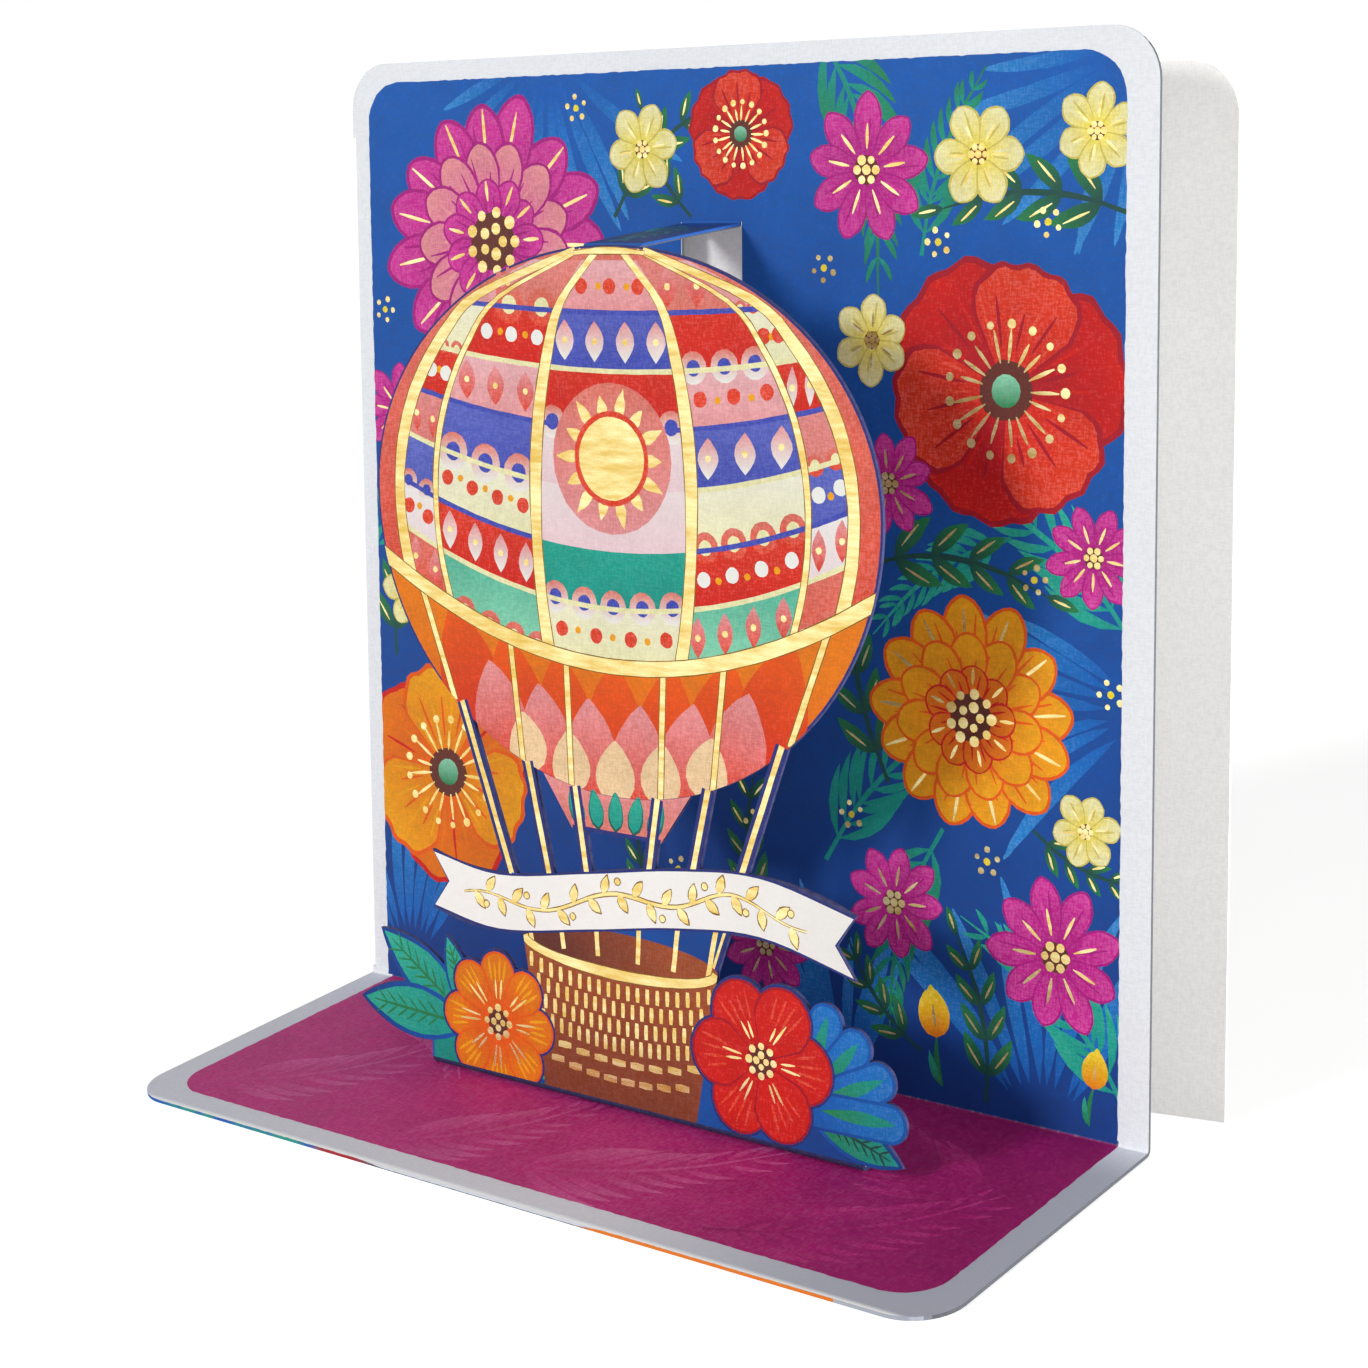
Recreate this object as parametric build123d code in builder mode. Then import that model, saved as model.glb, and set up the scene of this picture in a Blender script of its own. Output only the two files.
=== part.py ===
"""Pop-up greeting card that stands by itself.

Two pieces of card: one sheet folded into a base flap, a scene panel with a lift tab and a rear leaf,
and a die-cut balloon figure that is glued to the lift tab at its crown and to the base at its foot.

Millimetres, +Z up. The origin is the middle of the base flap's underside, and the figure faces -Y.
"""
import os
from math import cos, pi, radians, sin, sqrt, tan

from build123d import *

# Card stock and its creases
stock = 0.6
crease_radius = 0.5
glue_film = 0.05
crease_lap = 1.0
crease_notch = 1.2

# Scene panel, measured along its lean
panel_width = 160.0
panel_height = 165.0
panel_lean = 6.4
panel_corner = 8.0

# Base flap, folded forward at the panel's foot
base_depth = 59.0
base_corner = 8.0

# Rear leaf, folded back at the panel's left edge and bowing open, a little wider and lower than the panel
leaf_spare = 5.0
leaf_drop = 6.0
leaf_opening = 4.9
leaf_corner = 8.0

# Lift tab, cut out of the panel and folded forward at its window's top edge
tab_crease_drop = 28.0
tab_width = 11.6
tab_glue_flap = 9.0
tab_side_gap = 0.2

# Balloon figure: its distance from the panel, and its glued foot
figure_reach = 26.0
foot_left = -40.5
foot_right = 46.5
foot_band = 9.4
foot_flap = 10.0
foot_flap_bevel = 4.0
foot_gap = 0.4

# Balloon envelope and its mouth, with heights above the figure's foot
envelope_half_width = 50.3
envelope_rise = 39.9
envelope_bottom = 50.8
crown_drop = 0.1
mouth_half_top = 15.6
mouth_half_bottom = 9.0
mouth_bottom = 44.6
mouth_lap = 3.0

# Ropes, as distances from the middle at the envelope and at the basket's rim
rope_width = 2.4
rope_tops = [33.7, 19.2, 9.0]
rope_feet = [18.4, 11.5, 4.2]
rope_lap = 4.0

# Ribbon banner across the ropes, by its middle line
banner_line = [(-39.6, 32.0), (-25.0, 30.2), (-6.0, 33.1), (12.0, 36.2), (28.0, 37.4), (45.4, 33.9)]
banner_height = 9.9
banner_notch = 3.4

# Basket
basket_half_rim = 19.8
basket_half_foot = 15.3
basket_rim_height = 25.6
basket_rim_drop = 3.4

# Flowers at the foot: place, ring of petals, petal size
left_flower = (-25.6, 9.8)
left_petals = 8
left_petal_ring = 8.2
left_petal_radius = 4.2
right_flower = (28.0, 13.6)
right_petals = 6
right_petal_ring = 7.8
right_petal_radius = 5.9

# Leaves behind the flowers, pointed or round, by their direction in degrees and their length
leaf_blade_share = 0.36
left_leaf_root = (-31.0, 8.0)
left_leaves = [(147.0, 25.0), (178.0, 26.0), (112.0, 16.0), (-16.0, 20.0)]
right_leaf_root = (36.0, 8.0)
right_leaves = [(-18.0, 18.6)]
round_leaf_width = 6.3
round_leaves = [(74.0, 17.4), (50.0, 17.2), (26.0, 17.9), (2.0, 18.4)]

# Derived sizes and places
leaf_width = panel_width + leaf_spare
leaf_height = panel_height - leaf_drop
tab_crease_height = panel_height - tab_crease_drop
envelope_crown = tab_crease_height - crown_drop
envelope_middle = envelope_crown - envelope_rise
envelope_fall = envelope_middle - envelope_bottom
lean = radians(panel_lean)
outer_radius = crease_radius + stock
fold_y = base_depth / 2
foot_y = fold_y - figure_reach
foot_z = stock + glue_film
front_normal = (0, -cos(lean), sin(lean))
panel_plane = Plane(origin=(0, fold_y, stock), x_dir=(1, 0, 0), z_dir=front_normal)
figure_plane = Plane(origin=(0, foot_y, foot_z), x_dir=(1, 0, 0), z_dir=front_normal)
# A crease's straight faces end this far from their sharp corner, on the inside and on the outside
crease_run = crease_radius * tan((pi / 2 - lean) / 2)
foot_run = outer_radius * tan((pi / 2 + lean) / 2)


def up_panel(y: float, z: float, height: float) -> tuple[float, float]:
    """The (Y, Z) place that is a height up along the panel's lean from another place."""
    return (y + height * sin(lean), z + height * cos(lean))


def envelope_edge(across: float) -> float:
    """Height of the envelope's lower edge at a distance from its middle."""
    return envelope_middle - envelope_fall * sqrt(1 - (across / envelope_half_width) ** 2)


# Rear leaf and the hairpin crease that joins it to the panel, seen along the crease
leaf_run = leaf_width - outer_radius
leaf_end_back = 2 * outer_radius + leaf_run * sin(radians(leaf_opening))
leaf_end = (outer_radius + leaf_run * cos(radians(leaf_opening)), leaf_end_back)
# The free edge starts on the ground, which its lower end meets this high up the panel's lean
leaf_foot = (leaf_end_back * sin(lean) - stock) / cos(lean)
leaf_top = leaf_foot + leaf_height
leaf_crease_top = leaf_top - leaf_corner
leaf_origin = panel_plane.from_local_coords((-panel_width / 2, -stock, 0))
leaf_plane = Plane(origin=leaf_origin, x_dir=(1, 0, 0), z_dir=panel_plane.y_dir)

with BuildPart() as rear_leaf:
    with BuildSketch(leaf_plane):
        with BuildLine():
            Line((outer_radius + crease_lap, 0), (outer_radius, 0))
            ThreePointArc(
                (outer_radius, 0), (0, outer_radius), (outer_radius, 2 * outer_radius)
            )
            TangentArc((outer_radius, 2 * outer_radius), leaf_end, tangent=(1, 0))
            offset(amount=stock, side=Side.RIGHT)
        make_face()
    extrude(amount=leaf_top + stock)
    free_edge = rear_leaf.faces().sort_by(Axis.X)[-1]
    fillet(free_edge.edges().sort_by(Axis.Z)[-1], leaf_corner)
    # The lower edge rests on the ground, and a notch clears the corner where the two creases meet
    split(bisect_by=Plane.XY)
    with BuildSketch(panel_plane):
        with Locations((-panel_width / 2, crease_notch)):
            Rectangle(panel_width, panel_height, align=(Align.MIN, Align.MAX))
    extrude(amount=-outer_radius, mode=Mode.SUBTRACT)
    # The corner beside the crease is rounded too, and the crease stops below it
    with BuildSketch(panel_plane):
        with Locations((-panel_width / 2, leaf_crease_top)):
            Rectangle(leaf_corner, leaf_corner, align=Align.MIN)
        with Locations((-panel_width / 2 + leaf_corner, leaf_crease_top)):
            Circle(leaf_corner, mode=Mode.SUBTRACT)
        with Locations((-panel_width / 2, leaf_crease_top)):
            Rectangle(outer_radius, leaf_corner, align=Align.MIN)
    extrude(amount=-leaf_end_back, mode=Mode.SUBTRACT)

with BuildPart() as folded_card:
    # Base flap and scene panel from one strip, by the line of their printed faces
    with BuildSketch(Plane.YZ):
        with BuildLine():
            FilletPolyline(
                (-base_depth / 2, stock),
                (fold_y, stock),
                up_panel(fold_y, stock, panel_height),
                radius=crease_radius,
            )
            offset(amount=stock, side=Side.RIGHT)
        make_face()
    extrude(amount=panel_width / 2, both=True)
    base_corners = folded_card.edges().filter_by(Axis.Z).group_by(Axis.Y)[0]
    fillet(base_corners, base_corner)
    top_edge = folded_card.faces().sort_by(Axis.Z)[-1]
    fillet(top_edge.edges().filter_by(Axis.X, reverse=True), panel_corner)
    # Room for the hairpin crease along the left edge, and the window that the tab leaves
    window_top = tab_crease_height + crease_run
    tab_blank = figure_reach + tab_glue_flap
    with BuildSketch(panel_plane):
        with Locations((-panel_width / 2, crease_notch)):
            Rectangle(outer_radius, leaf_crease_top - crease_notch, align=Align.MIN)
        with Locations((0, window_top)):
            Rectangle(
                tab_width + 2 * tab_side_gap,
                crease_run + tab_blank,
                align=(Align.CENTER, Align.MAX),
            )
    extrude(amount=-stock, mode=Mode.SUBTRACT)
    # Lift tab: down the panel, forward to the figure, then down behind the figure's crown
    tab_y, tab_z = up_panel(fold_y, stock, tab_crease_height)
    flap_y = tab_y - figure_reach + (stock + glue_film) / cos(lean)
    with BuildSketch(Plane.YZ):
        with BuildLine():
            FilletPolyline(
                up_panel(tab_y, tab_z, crease_run + crease_lap),
                (tab_y, tab_z),
                (flap_y, tab_z),
                up_panel(flap_y, tab_z, -tab_glue_flap),
                radius=[crease_radius, outer_radius],
            )
            offset(amount=stock, side=Side.LEFT)
        make_face()
    extrude(amount=tab_width / 2, both=True)
    add(rear_leaf.part)


def leaf_blades(root: tuple[float, float], blades: list[tuple[float, float]]) -> None:
    """Pointed leaves that fan out from one root in the open sketch."""
    for direction, length in blades:
        half = length * leaf_blade_share / 2
        with BuildSketch(mode=Mode.PRIVATE) as blade:
            with BuildLine():
                ThreePointArc((0, 0), (length / 2, half), (length, 0))
                ThreePointArc((length, 0), (length / 2, -half), (0, 0))
            make_face()
        with Locations(Location((root[0], root[1], 0), (0, 0, direction))):
            add(blade.sketch)


def lobes(root: tuple[float, float], leaves: list[tuple[float, float]]) -> None:
    """Round-ended leaves that fan out from one root in the open sketch."""
    for direction, length in leaves:
        with Locations(Location((root[0], root[1], 0), (0, 0, direction))):
            with Locations((length / 2, 0)):
                SlotOverall(length, round_leaf_width)


def flower(place: tuple[float, float], petals: int, ring: float, petal: float) -> None:
    """A bloom of round petals about one place in the open sketch."""
    with Locations(place):
        Circle(ring)
        with PolarLocations(ring, petals):
            Circle(petal)


with BuildPart() as balloon_figure:
    with BuildSketch(figure_plane):
        # Envelope, flatter above its middle than below
        with BuildLine():
            middle = (0, envelope_middle)
            EllipticalCenterArc(middle, envelope_half_width, envelope_rise, 0, arc_size=180)
            EllipticalCenterArc(middle, envelope_half_width, envelope_fall, 180, arc_size=180)
        make_face()
        # Mouth below the envelope
        with BuildLine():
            mouth_top = envelope_bottom + mouth_lap
            Polyline(
                (-mouth_half_top, mouth_top),
                (-mouth_half_bottom, mouth_bottom),
                (mouth_half_bottom, mouth_bottom),
                (mouth_half_top, mouth_top),
                close=True,
            )
        make_face()
        # Ropes from the envelope to the basket's rim
        with BuildLine() as ropes:
            for top_x, foot_x in zip(rope_tops, rope_feet):
                rope_top = envelope_edge(top_x) + rope_lap
                for side in (-1, 1):
                    Line((side * top_x, rope_top), (side * foot_x, basket_rim_height))
        trace(ropes.edges(), line_width=rope_width)
        # Ribbon banner with notched tails
        half_banner = Vector(0, banner_height / 2)
        banner_middle = [Vector(*point) for point in banner_line]
        with BuildLine():
            banner_top = Spline(*[point + half_banner for point in banner_middle])
            banner_low = Spline(*[point - half_banner for point in banner_middle])
            left_notch = banner_middle[0] + Vector(banner_notch, 0)
            right_notch = banner_middle[-1] - Vector(banner_notch, 0)
            Polyline(banner_top @ 0, left_notch, banner_low @ 0)
            Polyline(banner_top @ 1, right_notch, banner_low @ 1)
        make_face()
        # Basket with its round rim, and its far side that the banner hangs in front of
        with BuildLine():
            Polyline(
                (-basket_half_rim, basket_rim_height),
                (-basket_half_foot, 0),
                (basket_half_foot, 0),
                (basket_half_rim, basket_rim_height),
                close=True,
            )
        make_face()
        with Locations((0, basket_rim_height)):
            Ellipse(basket_half_rim, basket_rim_drop)
        with BuildLine():
            far_side_top = basket_rim_height + banner_height
            rope_rise = envelope_edge(rope_tops[0]) + rope_lap - basket_rim_height
            rope_spread = (rope_tops[0] - rope_feet[0]) / rope_rise
            far_side_half = rope_feet[0] + rope_spread * banner_height
            Polyline(
                (-rope_feet[0], basket_rim_height),
                (rope_feet[0], basket_rim_height),
                (far_side_half, far_side_top),
                (-far_side_half, far_side_top),
                close=True,
            )
        make_face()
        # Flowers and leaves at the foot
        flower(left_flower, left_petals, left_petal_ring, left_petal_radius)
        flower(right_flower, right_petals, right_petal_ring, right_petal_radius)
        leaf_blades(left_leaf_root, left_leaves)
        leaf_blades(right_leaf_root, right_leaves)
        lobes(right_leaf_root, round_leaves)
        # The free parts end just above the base, and the glued stretch ends at its crease
        with Locations((0, foot_gap)):
            Rectangle(panel_width, base_depth, align=(Align.CENTER, Align.MAX), mode=Mode.SUBTRACT)
        with Locations((foot_left, foot_run)):
            Rectangle(
                foot_right - foot_left,
                base_depth,
                align=(Align.MIN, Align.MAX),
                mode=Mode.SUBTRACT,
            )
    extrude(amount=-stock)
    # Glued foot, folded back under the figure
    with BuildSketch(Plane.YZ.offset(foot_left)):
        with BuildLine():
            FilletPolyline(
                up_panel(foot_y, foot_z, foot_band),
                (foot_y, foot_z),
                (foot_y + foot_flap, foot_z),
                radius=outer_radius,
            )
            offset(amount=stock, side=Side.LEFT)
        make_face()
    extrude(amount=foot_right - foot_left)
    flap_ends = balloon_figure.edges().filter_by(Axis.Z).group_by(Axis.Y)[-1]
    chamfer(flap_ends, foot_flap_bevel)

folded_card.part.label = "folded_card"
balloon_figure.part.label = "balloon_figure"

os.makedirs("parts", exist_ok=True)
export_step(folded_card.part, "parts/folded_card.step")
export_step(balloon_figure.part, "parts/balloon_figure.step")
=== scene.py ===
"""Looks of the standing pop-up card: printed faces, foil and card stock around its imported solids.

Drawings are in millimetres on the plane of the face that carries them, with places as complex numbers.
Meshes are in metres in the frame.
"""
import cmath
import logging
import math
import random
from dataclasses import dataclass, field
from enum import Enum
from typing import Sequence

import bmesh
import bpy
import numpy as np
from mathutils import Matrix, Vector
from mathutils.geometry import delaunay_2d_cdt


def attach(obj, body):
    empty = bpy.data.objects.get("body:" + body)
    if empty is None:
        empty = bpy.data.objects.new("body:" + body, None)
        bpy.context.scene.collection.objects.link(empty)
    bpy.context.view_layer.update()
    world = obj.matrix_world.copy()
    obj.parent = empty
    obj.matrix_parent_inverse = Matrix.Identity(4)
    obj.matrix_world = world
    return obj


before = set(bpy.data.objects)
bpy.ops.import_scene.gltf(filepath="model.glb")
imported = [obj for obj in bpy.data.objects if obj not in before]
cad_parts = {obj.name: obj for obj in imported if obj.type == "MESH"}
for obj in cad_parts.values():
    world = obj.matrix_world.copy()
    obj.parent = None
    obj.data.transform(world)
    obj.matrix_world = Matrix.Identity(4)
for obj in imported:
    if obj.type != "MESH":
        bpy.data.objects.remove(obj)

log = logging.getLogger("pop_up_card")
logging.basicConfig(level=logging.INFO, format="%(name)s: %(message)s")

Rgba = tuple[float, float, float, float]
Triple = tuple[float, float, float]
Pair = tuple[float, float]
Axis = tuple[complex, complex]
Outline = Sequence[complex]
Socket = bpy.types.NodeSocket
Sockets = bpy.types.bpy_prop_collection
Material = bpy.types.Material

MM = 0.001
WHITE: Rgba = (1.0, 1.0, 1.0, 1.0)

# The card's own sizes, in millimetres and radians
LEAN = math.radians(6.4)
FOLD_Y = 29.5
STOCK = 0.6
FIGURE_REACH = 26.0
FOOT_LIFT = 0.65


def hex_rgba(code: str) -> Rgba:
    """An sRGB hex value in linear light, with full alpha."""
    parts = [int(code[k:k + 2], 16) / 255 for k in (0, 2, 4)]
    return (*[c / 12.92 if c <= 0.04045 else ((c + 0.055) / 1.055) ** 2.4 for c in parts], 1.0)


class Ink(Enum):
    """Colours of the print, as sRGB hex values."""

    COBALT = "1a5cb0"
    DEEP_BLUE = "073b86"
    MIDNIGHT = "0c2b66"
    NAVY = "2b3474"
    SKY = "4b8fd0"
    VIOLET = "4f58b2"
    PERIWINKLE = "7079c4"
    TEAL = "239487"
    SEA_GREEN = "3fae96"
    GREEN = "2c7d4c"
    BOTTLE = "17453f"
    MINT = "93d3b2"
    LEMON = "f2dd54"
    CREAM = "efeab8"
    STRAW = "d3c46a"
    AMBER = "f2a72c"
    ORANGE = "e67a17"
    TANGERINE = "ea5f1e"
    CORAL = "e25b4c"
    RED = "d2332f"
    CRIMSON = "a61d2b"
    SALMON = "de8073"
    ROSE = "e79c9d"
    BLUSH = "eccfd4"
    PEACH = "f1d0a6"
    PINK = "d553a1"
    MAGENTA = "ab2b80"
    PLUM = "b23f7b"
    PLUM_LIGHT = "c15f93"
    PLUM_DEEP = "8c1f5f"
    BROWN = "a2573a"
    UMBER = "5f2d25"
    IVORY = "f2f2ec"
    CHALK = "fdfcf7"
    PEARL = "eceae4"
    # Painted shade round pressed foil
    FOIL_SHADE = "84602a"
    GOLD = "edcf73"

    @property
    def rgba(self) -> Rgba:
        """The colour in linear light."""
        return hex_rgba(self.value)


class Corners(Enum):
    """Which pair of a printed field's corners is rounded."""

    TOP = "top"
    LOW = "low"


# Colours of a petal's rim, its root and its end
Inks = tuple[Ink, Ink, Ink]

# What the colour of an envelope's band pales to
PALER = {Ink.RED: Ink.CORAL, Ink.SALMON: Ink.ROSE, Ink.ROSE: Ink.BLUSH, Ink.VIOLET: Ink.PERIWINKLE,
         Ink.CREAM: Ink.IVORY, Ink.MINT: Ink.SEA_GREEN, Ink.TEAL: Ink.SEA_GREEN, Ink.BLUSH: Ink.IVORY,
         Ink.CORAL: Ink.SALMON}

# Shading axis of a patch that has one colour
LEVEL: Axis = (0j, 1 + 0j)


def turned(degrees: float) -> complex:
    """The unit direction at an angle from the drawing's right."""
    return cmath.rect(1.0, math.radians(degrees))


def mixed(first: Rgba, second: Rgba, share: float) -> Rgba:
    """A colour between two others, at a share of the way from the first to the second."""
    return tuple(a + (b - a) * share for a, b in zip(first, second))


def smooth_line(points: Outline, steps: int = 5) -> list[complex]:
    """A rounded line through some points.

    Args:
        points: Places that the line passes through.
        steps: Pieces between two places.

    Returns:
        Points along the line, ends included.
    """
    ends = [2 * points[0] - points[1], *points, 2 * points[-1] - points[-2]]
    line = []
    for a, b, c, d in zip(ends, ends[1:], ends[2:], ends[3:]):
        for k in range(steps):
            t = k / steps
            line.append(0.5 * (2 * b + (c - a) * t + (2 * a - 5 * b + 4 * c - d) * t * t
                               + (3 * b - a - 3 * c + d) * t ** 3))
    return line + [points[-1]]


def frayed(outline: Outline, seed: int) -> list[complex]:
    """An outline whose edge strays a little, as ink does on a rough sheet.

    Args:
        outline: Corners of the edge.
        seed: Start of the random draws.

    Returns:
        The longer outline.
    """
    hand = random.Random(seed)
    step, stray = 0.9, 0.09
    points = []
    for a, b in zip(outline, [*outline[1:], outline[0]]):
        count = max(int(abs(b - a) / step), 1)
        side = 1j * (b - a) / abs(b - a)
        points += [a + (b - a) * k / count + side * hand.uniform(-stray, stray) for k in range(count)]
    return points


def oval(centre: complex, wide: float, tall: float, count: int) -> list[complex]:
    """Points on an oval, from its right, given half its width and half its height."""
    angles = [2 * math.pi * k / count for k in range(count)]
    return [centre + complex(wide * math.cos(a), tall * math.sin(a)) for a in angles]


def arc(centre: complex, radius: float, degrees: range, turn: float = 0.0) -> list[complex]:
    """Points on a circle in some directions, each turned by the same degrees."""
    return [centre + radius * turned(turn + a) for a in degrees]


def oblong(left: float, right: float, low: float, high: float) -> list[complex]:
    """The corners of an upright rectangle."""
    return [complex(left, low), complex(right, low), complex(right, high), complex(left, high)]


def rounded_field(left: float, right: float, low: float, high: float, radius: float,
                  corners: Corners) -> list[complex]:
    """The outline of a printed field with two rounded corners.

    Args:
        left: Left edge.
        right: Right edge.
        low: Lower edge.
        high: Upper edge.
        radius: Of the rounded corners.
        corners: Which pair is rounded.

    Returns:
        The outline.
    """
    steps = 8
    upper = corners is Corners.TOP
    height = high - radius if upper else low + radius
    near, far = complex(left + radius, height), complex(right - radius, height)
    rounds = []
    for quarter, centre in enumerate((far, near) if upper else (near, far)):
        start = math.pi / 2 * (quarter if upper else quarter + 2)
        rounds += [centre + cmath.rect(radius, start + math.pi / 2 * k / steps) for k in range(steps + 1)]
    if upper:
        return [complex(left, low), complex(right, low), *rounds]
    return [complex(left, high), *rounds, complex(right, high)]


@dataclass
class Patch:
    """One area of ink or foil, shaded from its root to its tip."""

    outline: list[complex]
    ink: Ink
    tip: Ink | None = None
    axis: Axis = LEVEL

    def colour(self, place: complex) -> Rgba:
        """The patch's colour at a place.

        Args:
            place: Where on the drawing.

        Returns:
            The colour in linear light.
        """
        if self.tip is None:
            return self.ink.rgba
        root, end = self.axis
        along = ((place - root) * (end - root).conjugate()).real / abs(end - root) ** 2
        return mixed(self.ink.rgba, self.tip.rgba, min(max(along, 0.0), 1.0))

    def holds(self, places: np.ndarray) -> np.ndarray:
        """Which places lie inside the outline.

        Args:
            places: Complex places to test.

        Returns:
            One truth value for each place.
        """
        edge = np.array(self.outline)
        inside = np.zeros(len(places), bool)
        near = ((places.real >= edge.real.min()) & (places.real <= edge.real.max())
                & (places.imag >= edge.imag.min()) & (places.imag <= edge.imag.max()))
        spots = places[near]
        odd = np.zeros(len(spots), bool)
        for a, b in zip(self.outline, self.outline[1:] + self.outline[:1]):
            if a.imag != b.imag:
                over = (a.imag > spots.imag) != (b.imag > spots.imag)
                crossed = (b.real - a.real) * (spots.imag - a.imag) / (b.imag - a.imag) + a.real
                odd ^= over & (spots.real < crossed)
        inside[near] = odd
        return inside


class Drawing:
    """A painter's pile of patches on one face, later ones over earlier ones."""

    # How far the brush strays on a petal and on a stroke
    petal_wobble: float = 0.06
    stroke_wobble: float = 0.04
    # A stroke's swell, where less keeps it wide for longer
    swell: float = 0.6
    # How much wider a gilded stroke's rim of painted shade is, and the least width of a fine streak
    rim: float = 0.34
    fine: float = 0.16

    def __init__(self, seed: int) -> None:
        """Starts an empty drawing.

        Args:
            seed: Start of its random draws.
        """
        self.patches: list[Patch] = []
        self.dies: list[Patch] = []
        self.hand = random.Random(seed)

    def cut(self, outline: Outline, ink: Ink, tip: Ink | None = None, axis: Axis = LEVEL) -> None:
        """Adds a patch with a clean edge that is also a die-cut outline of the face."""
        self.patches.append(Patch(list(outline), ink, tip, axis))
        self.dies.append(self.patches[-1])

    def lay(self, outline: Outline, ink: Ink, tip: Ink | None = None, axis: Axis = LEVEL,
            wobble: float = 0.0) -> None:
        """Adds one patch.

        Args:
            outline: Its edge, in either direction.
            ink: Its colour, or the colour at its root.
            tip: The colour at its far end, if it is shaded.
            axis: Root and far end of the shading.
            wobble: How far the brush strays from the edge.
        """
        draw = self.hand.uniform
        points = [p + complex(draw(-wobble, wobble), draw(-wobble, wobble)) for p in outline]
        self.patches.append(Patch(points, ink, tip, axis))

    def disc(self, centre: complex, radius: float, ink: Ink, tip: Ink | None = None, points: int = 14,
             wobble: float = 0.05) -> None:
        """Adds a round spot, shaded from below to above."""
        axis = (centre - 1j * radius, centre + 1j * radius)
        self.lay(oval(centre, radius, radius, points), ink, tip, axis, wobble)

    def petal(self, root: complex, angle: float, length: float, width: float, ink: Ink,
              tip: Ink | None = None, blunt: float = 0.7, peak: float = 1.3, bend: float = 0.0,
              steps: int = 10) -> None:
        """Adds a petal or leaf.

        Args:
            root: Where it grows from.
            angle: Its direction in degrees.
            length: From root to end.
            width: Across its widest place.
            ink: Colour at the root.
            tip: Colour at the end.
            blunt: 1 gives points, less gives round ends.
            peak: Over 1 puts the widest place further out.
            bend: Degrees that it turns on its way.
            steps: Pieces along each side.
        """
        sides: tuple[list[complex], list[complex]] = ([], [])
        for k in range(1, steps):
            t = math.sin(math.pi / 2 * k / steps)
            half = width / 2 * math.sin(math.pi * t ** peak) ** blunt
            way = turned(angle + bend * t)
            for side, sign in zip(sides, (1, -1)):
                side.append(root + way * complex(length * t, sign * half))
        end = root + turned(angle + bend) * length
        self.lay([root, *sides[1], end, *reversed(sides[0])], ink, tip, (root, end), self.petal_wobble)

    def stroke(self, points: Outline, width: float, ink: Ink, tip: Ink | None = None, start: float = 0.35,
               end: float = 0.35, steps: int = 5) -> None:
        """Adds a brush stroke along a rounded line.

        Args:
            points: Places that the stroke passes through.
            width: Its width in the middle.
            ink: Colour at its start.
            tip: Colour at its end.
            start: Width at its start, as a share.
            end: Width at its end, as a share.
            steps: Pieces between two places.
        """
        line = smooth_line(points, steps)
        left, right = [], []
        for k, place in enumerate(line):
            ahead = line[min(k + 1, len(line) - 1)] - line[max(k - 1, 0)]
            t = k / (len(line) - 1)
            half = width / 2 * max(math.sin(math.pi * t) ** self.swell, start * (1 - t) + end * t)
            side = 1j * ahead / abs(ahead) * half
            left.append(place + side)
            right.append(place - side)
        self.lay(right + left[::-1], ink, tip, (points[0], points[-1]), self.stroke_wobble)

    def ray(self, centre: complex, way: complex, near: float, far: float, width: float,
            ink: Ink = Ink.GOLD, steps: int = 3) -> None:
        """Adds a straight stroke that points away from a centre, between two distances from it."""
        self.stroke([centre + way * near, centre + way * far], width, ink, steps=steps)

    def line(self, points: Outline, width: float, ink: Ink, steps: int = 5, ends: float = 1.0) -> None:
        """Adds a stroke of even width, with both ends at one share of it."""
        self.stroke(points, width, ink, start=ends, end=ends, steps=steps)

    def gild(self, points: Outline, width: float, start: float = 1.0, end: float = 1.0,
             steps: int = 4) -> None:
        """Adds a stroke of foil on a darker rim of painted shade, where the pressed foil's edge is shaded."""
        # The darker, wider stroke under the gold is painted shade round the foil's edge
        for wide, ink in ((width + self.rim, Ink.FOIL_SHADE), (width, Ink.GOLD)):
            self.stroke(points, wide, ink, start=start, end=end, steps=steps)

    def dashes(self, centre: complex, inner: float, outer: float, count: int, width: float) -> None:
        """Adds a ring of short gold strokes that point away from a centre.

        Args:
            centre: Middle of the ring.
            inner: Distance of their starts.
            outer: Distance of their ends, more or less.
            count: How many strokes.
            width: Their width.
        """
        for k in range(count):
            way = turned(360.0 * k / count + self.hand.uniform(-3, 3))
            reach = outer * self.hand.uniform(0.85, 1.05)
            self.ray(centre, way, inner, reach, width)

    def dots(self, centre: complex, ring: float, count: int, radius: float, first: float = 0.0) -> None:
        """Adds a ring of small gold spots.

        Args:
            centre: Middle of the ring.
            ring: Its radius.
            count: How many spots.
            radius: Of a spot, more or less.
            first: Direction of the first spot in degrees.
        """
        for k in range(count):
            place = centre + turned(first + 360 * k / count) * ring
            self.disc(place, radius * self.hand.uniform(0.85, 1.15), Ink.GOLD, points=9, wobble=0.03)

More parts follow.
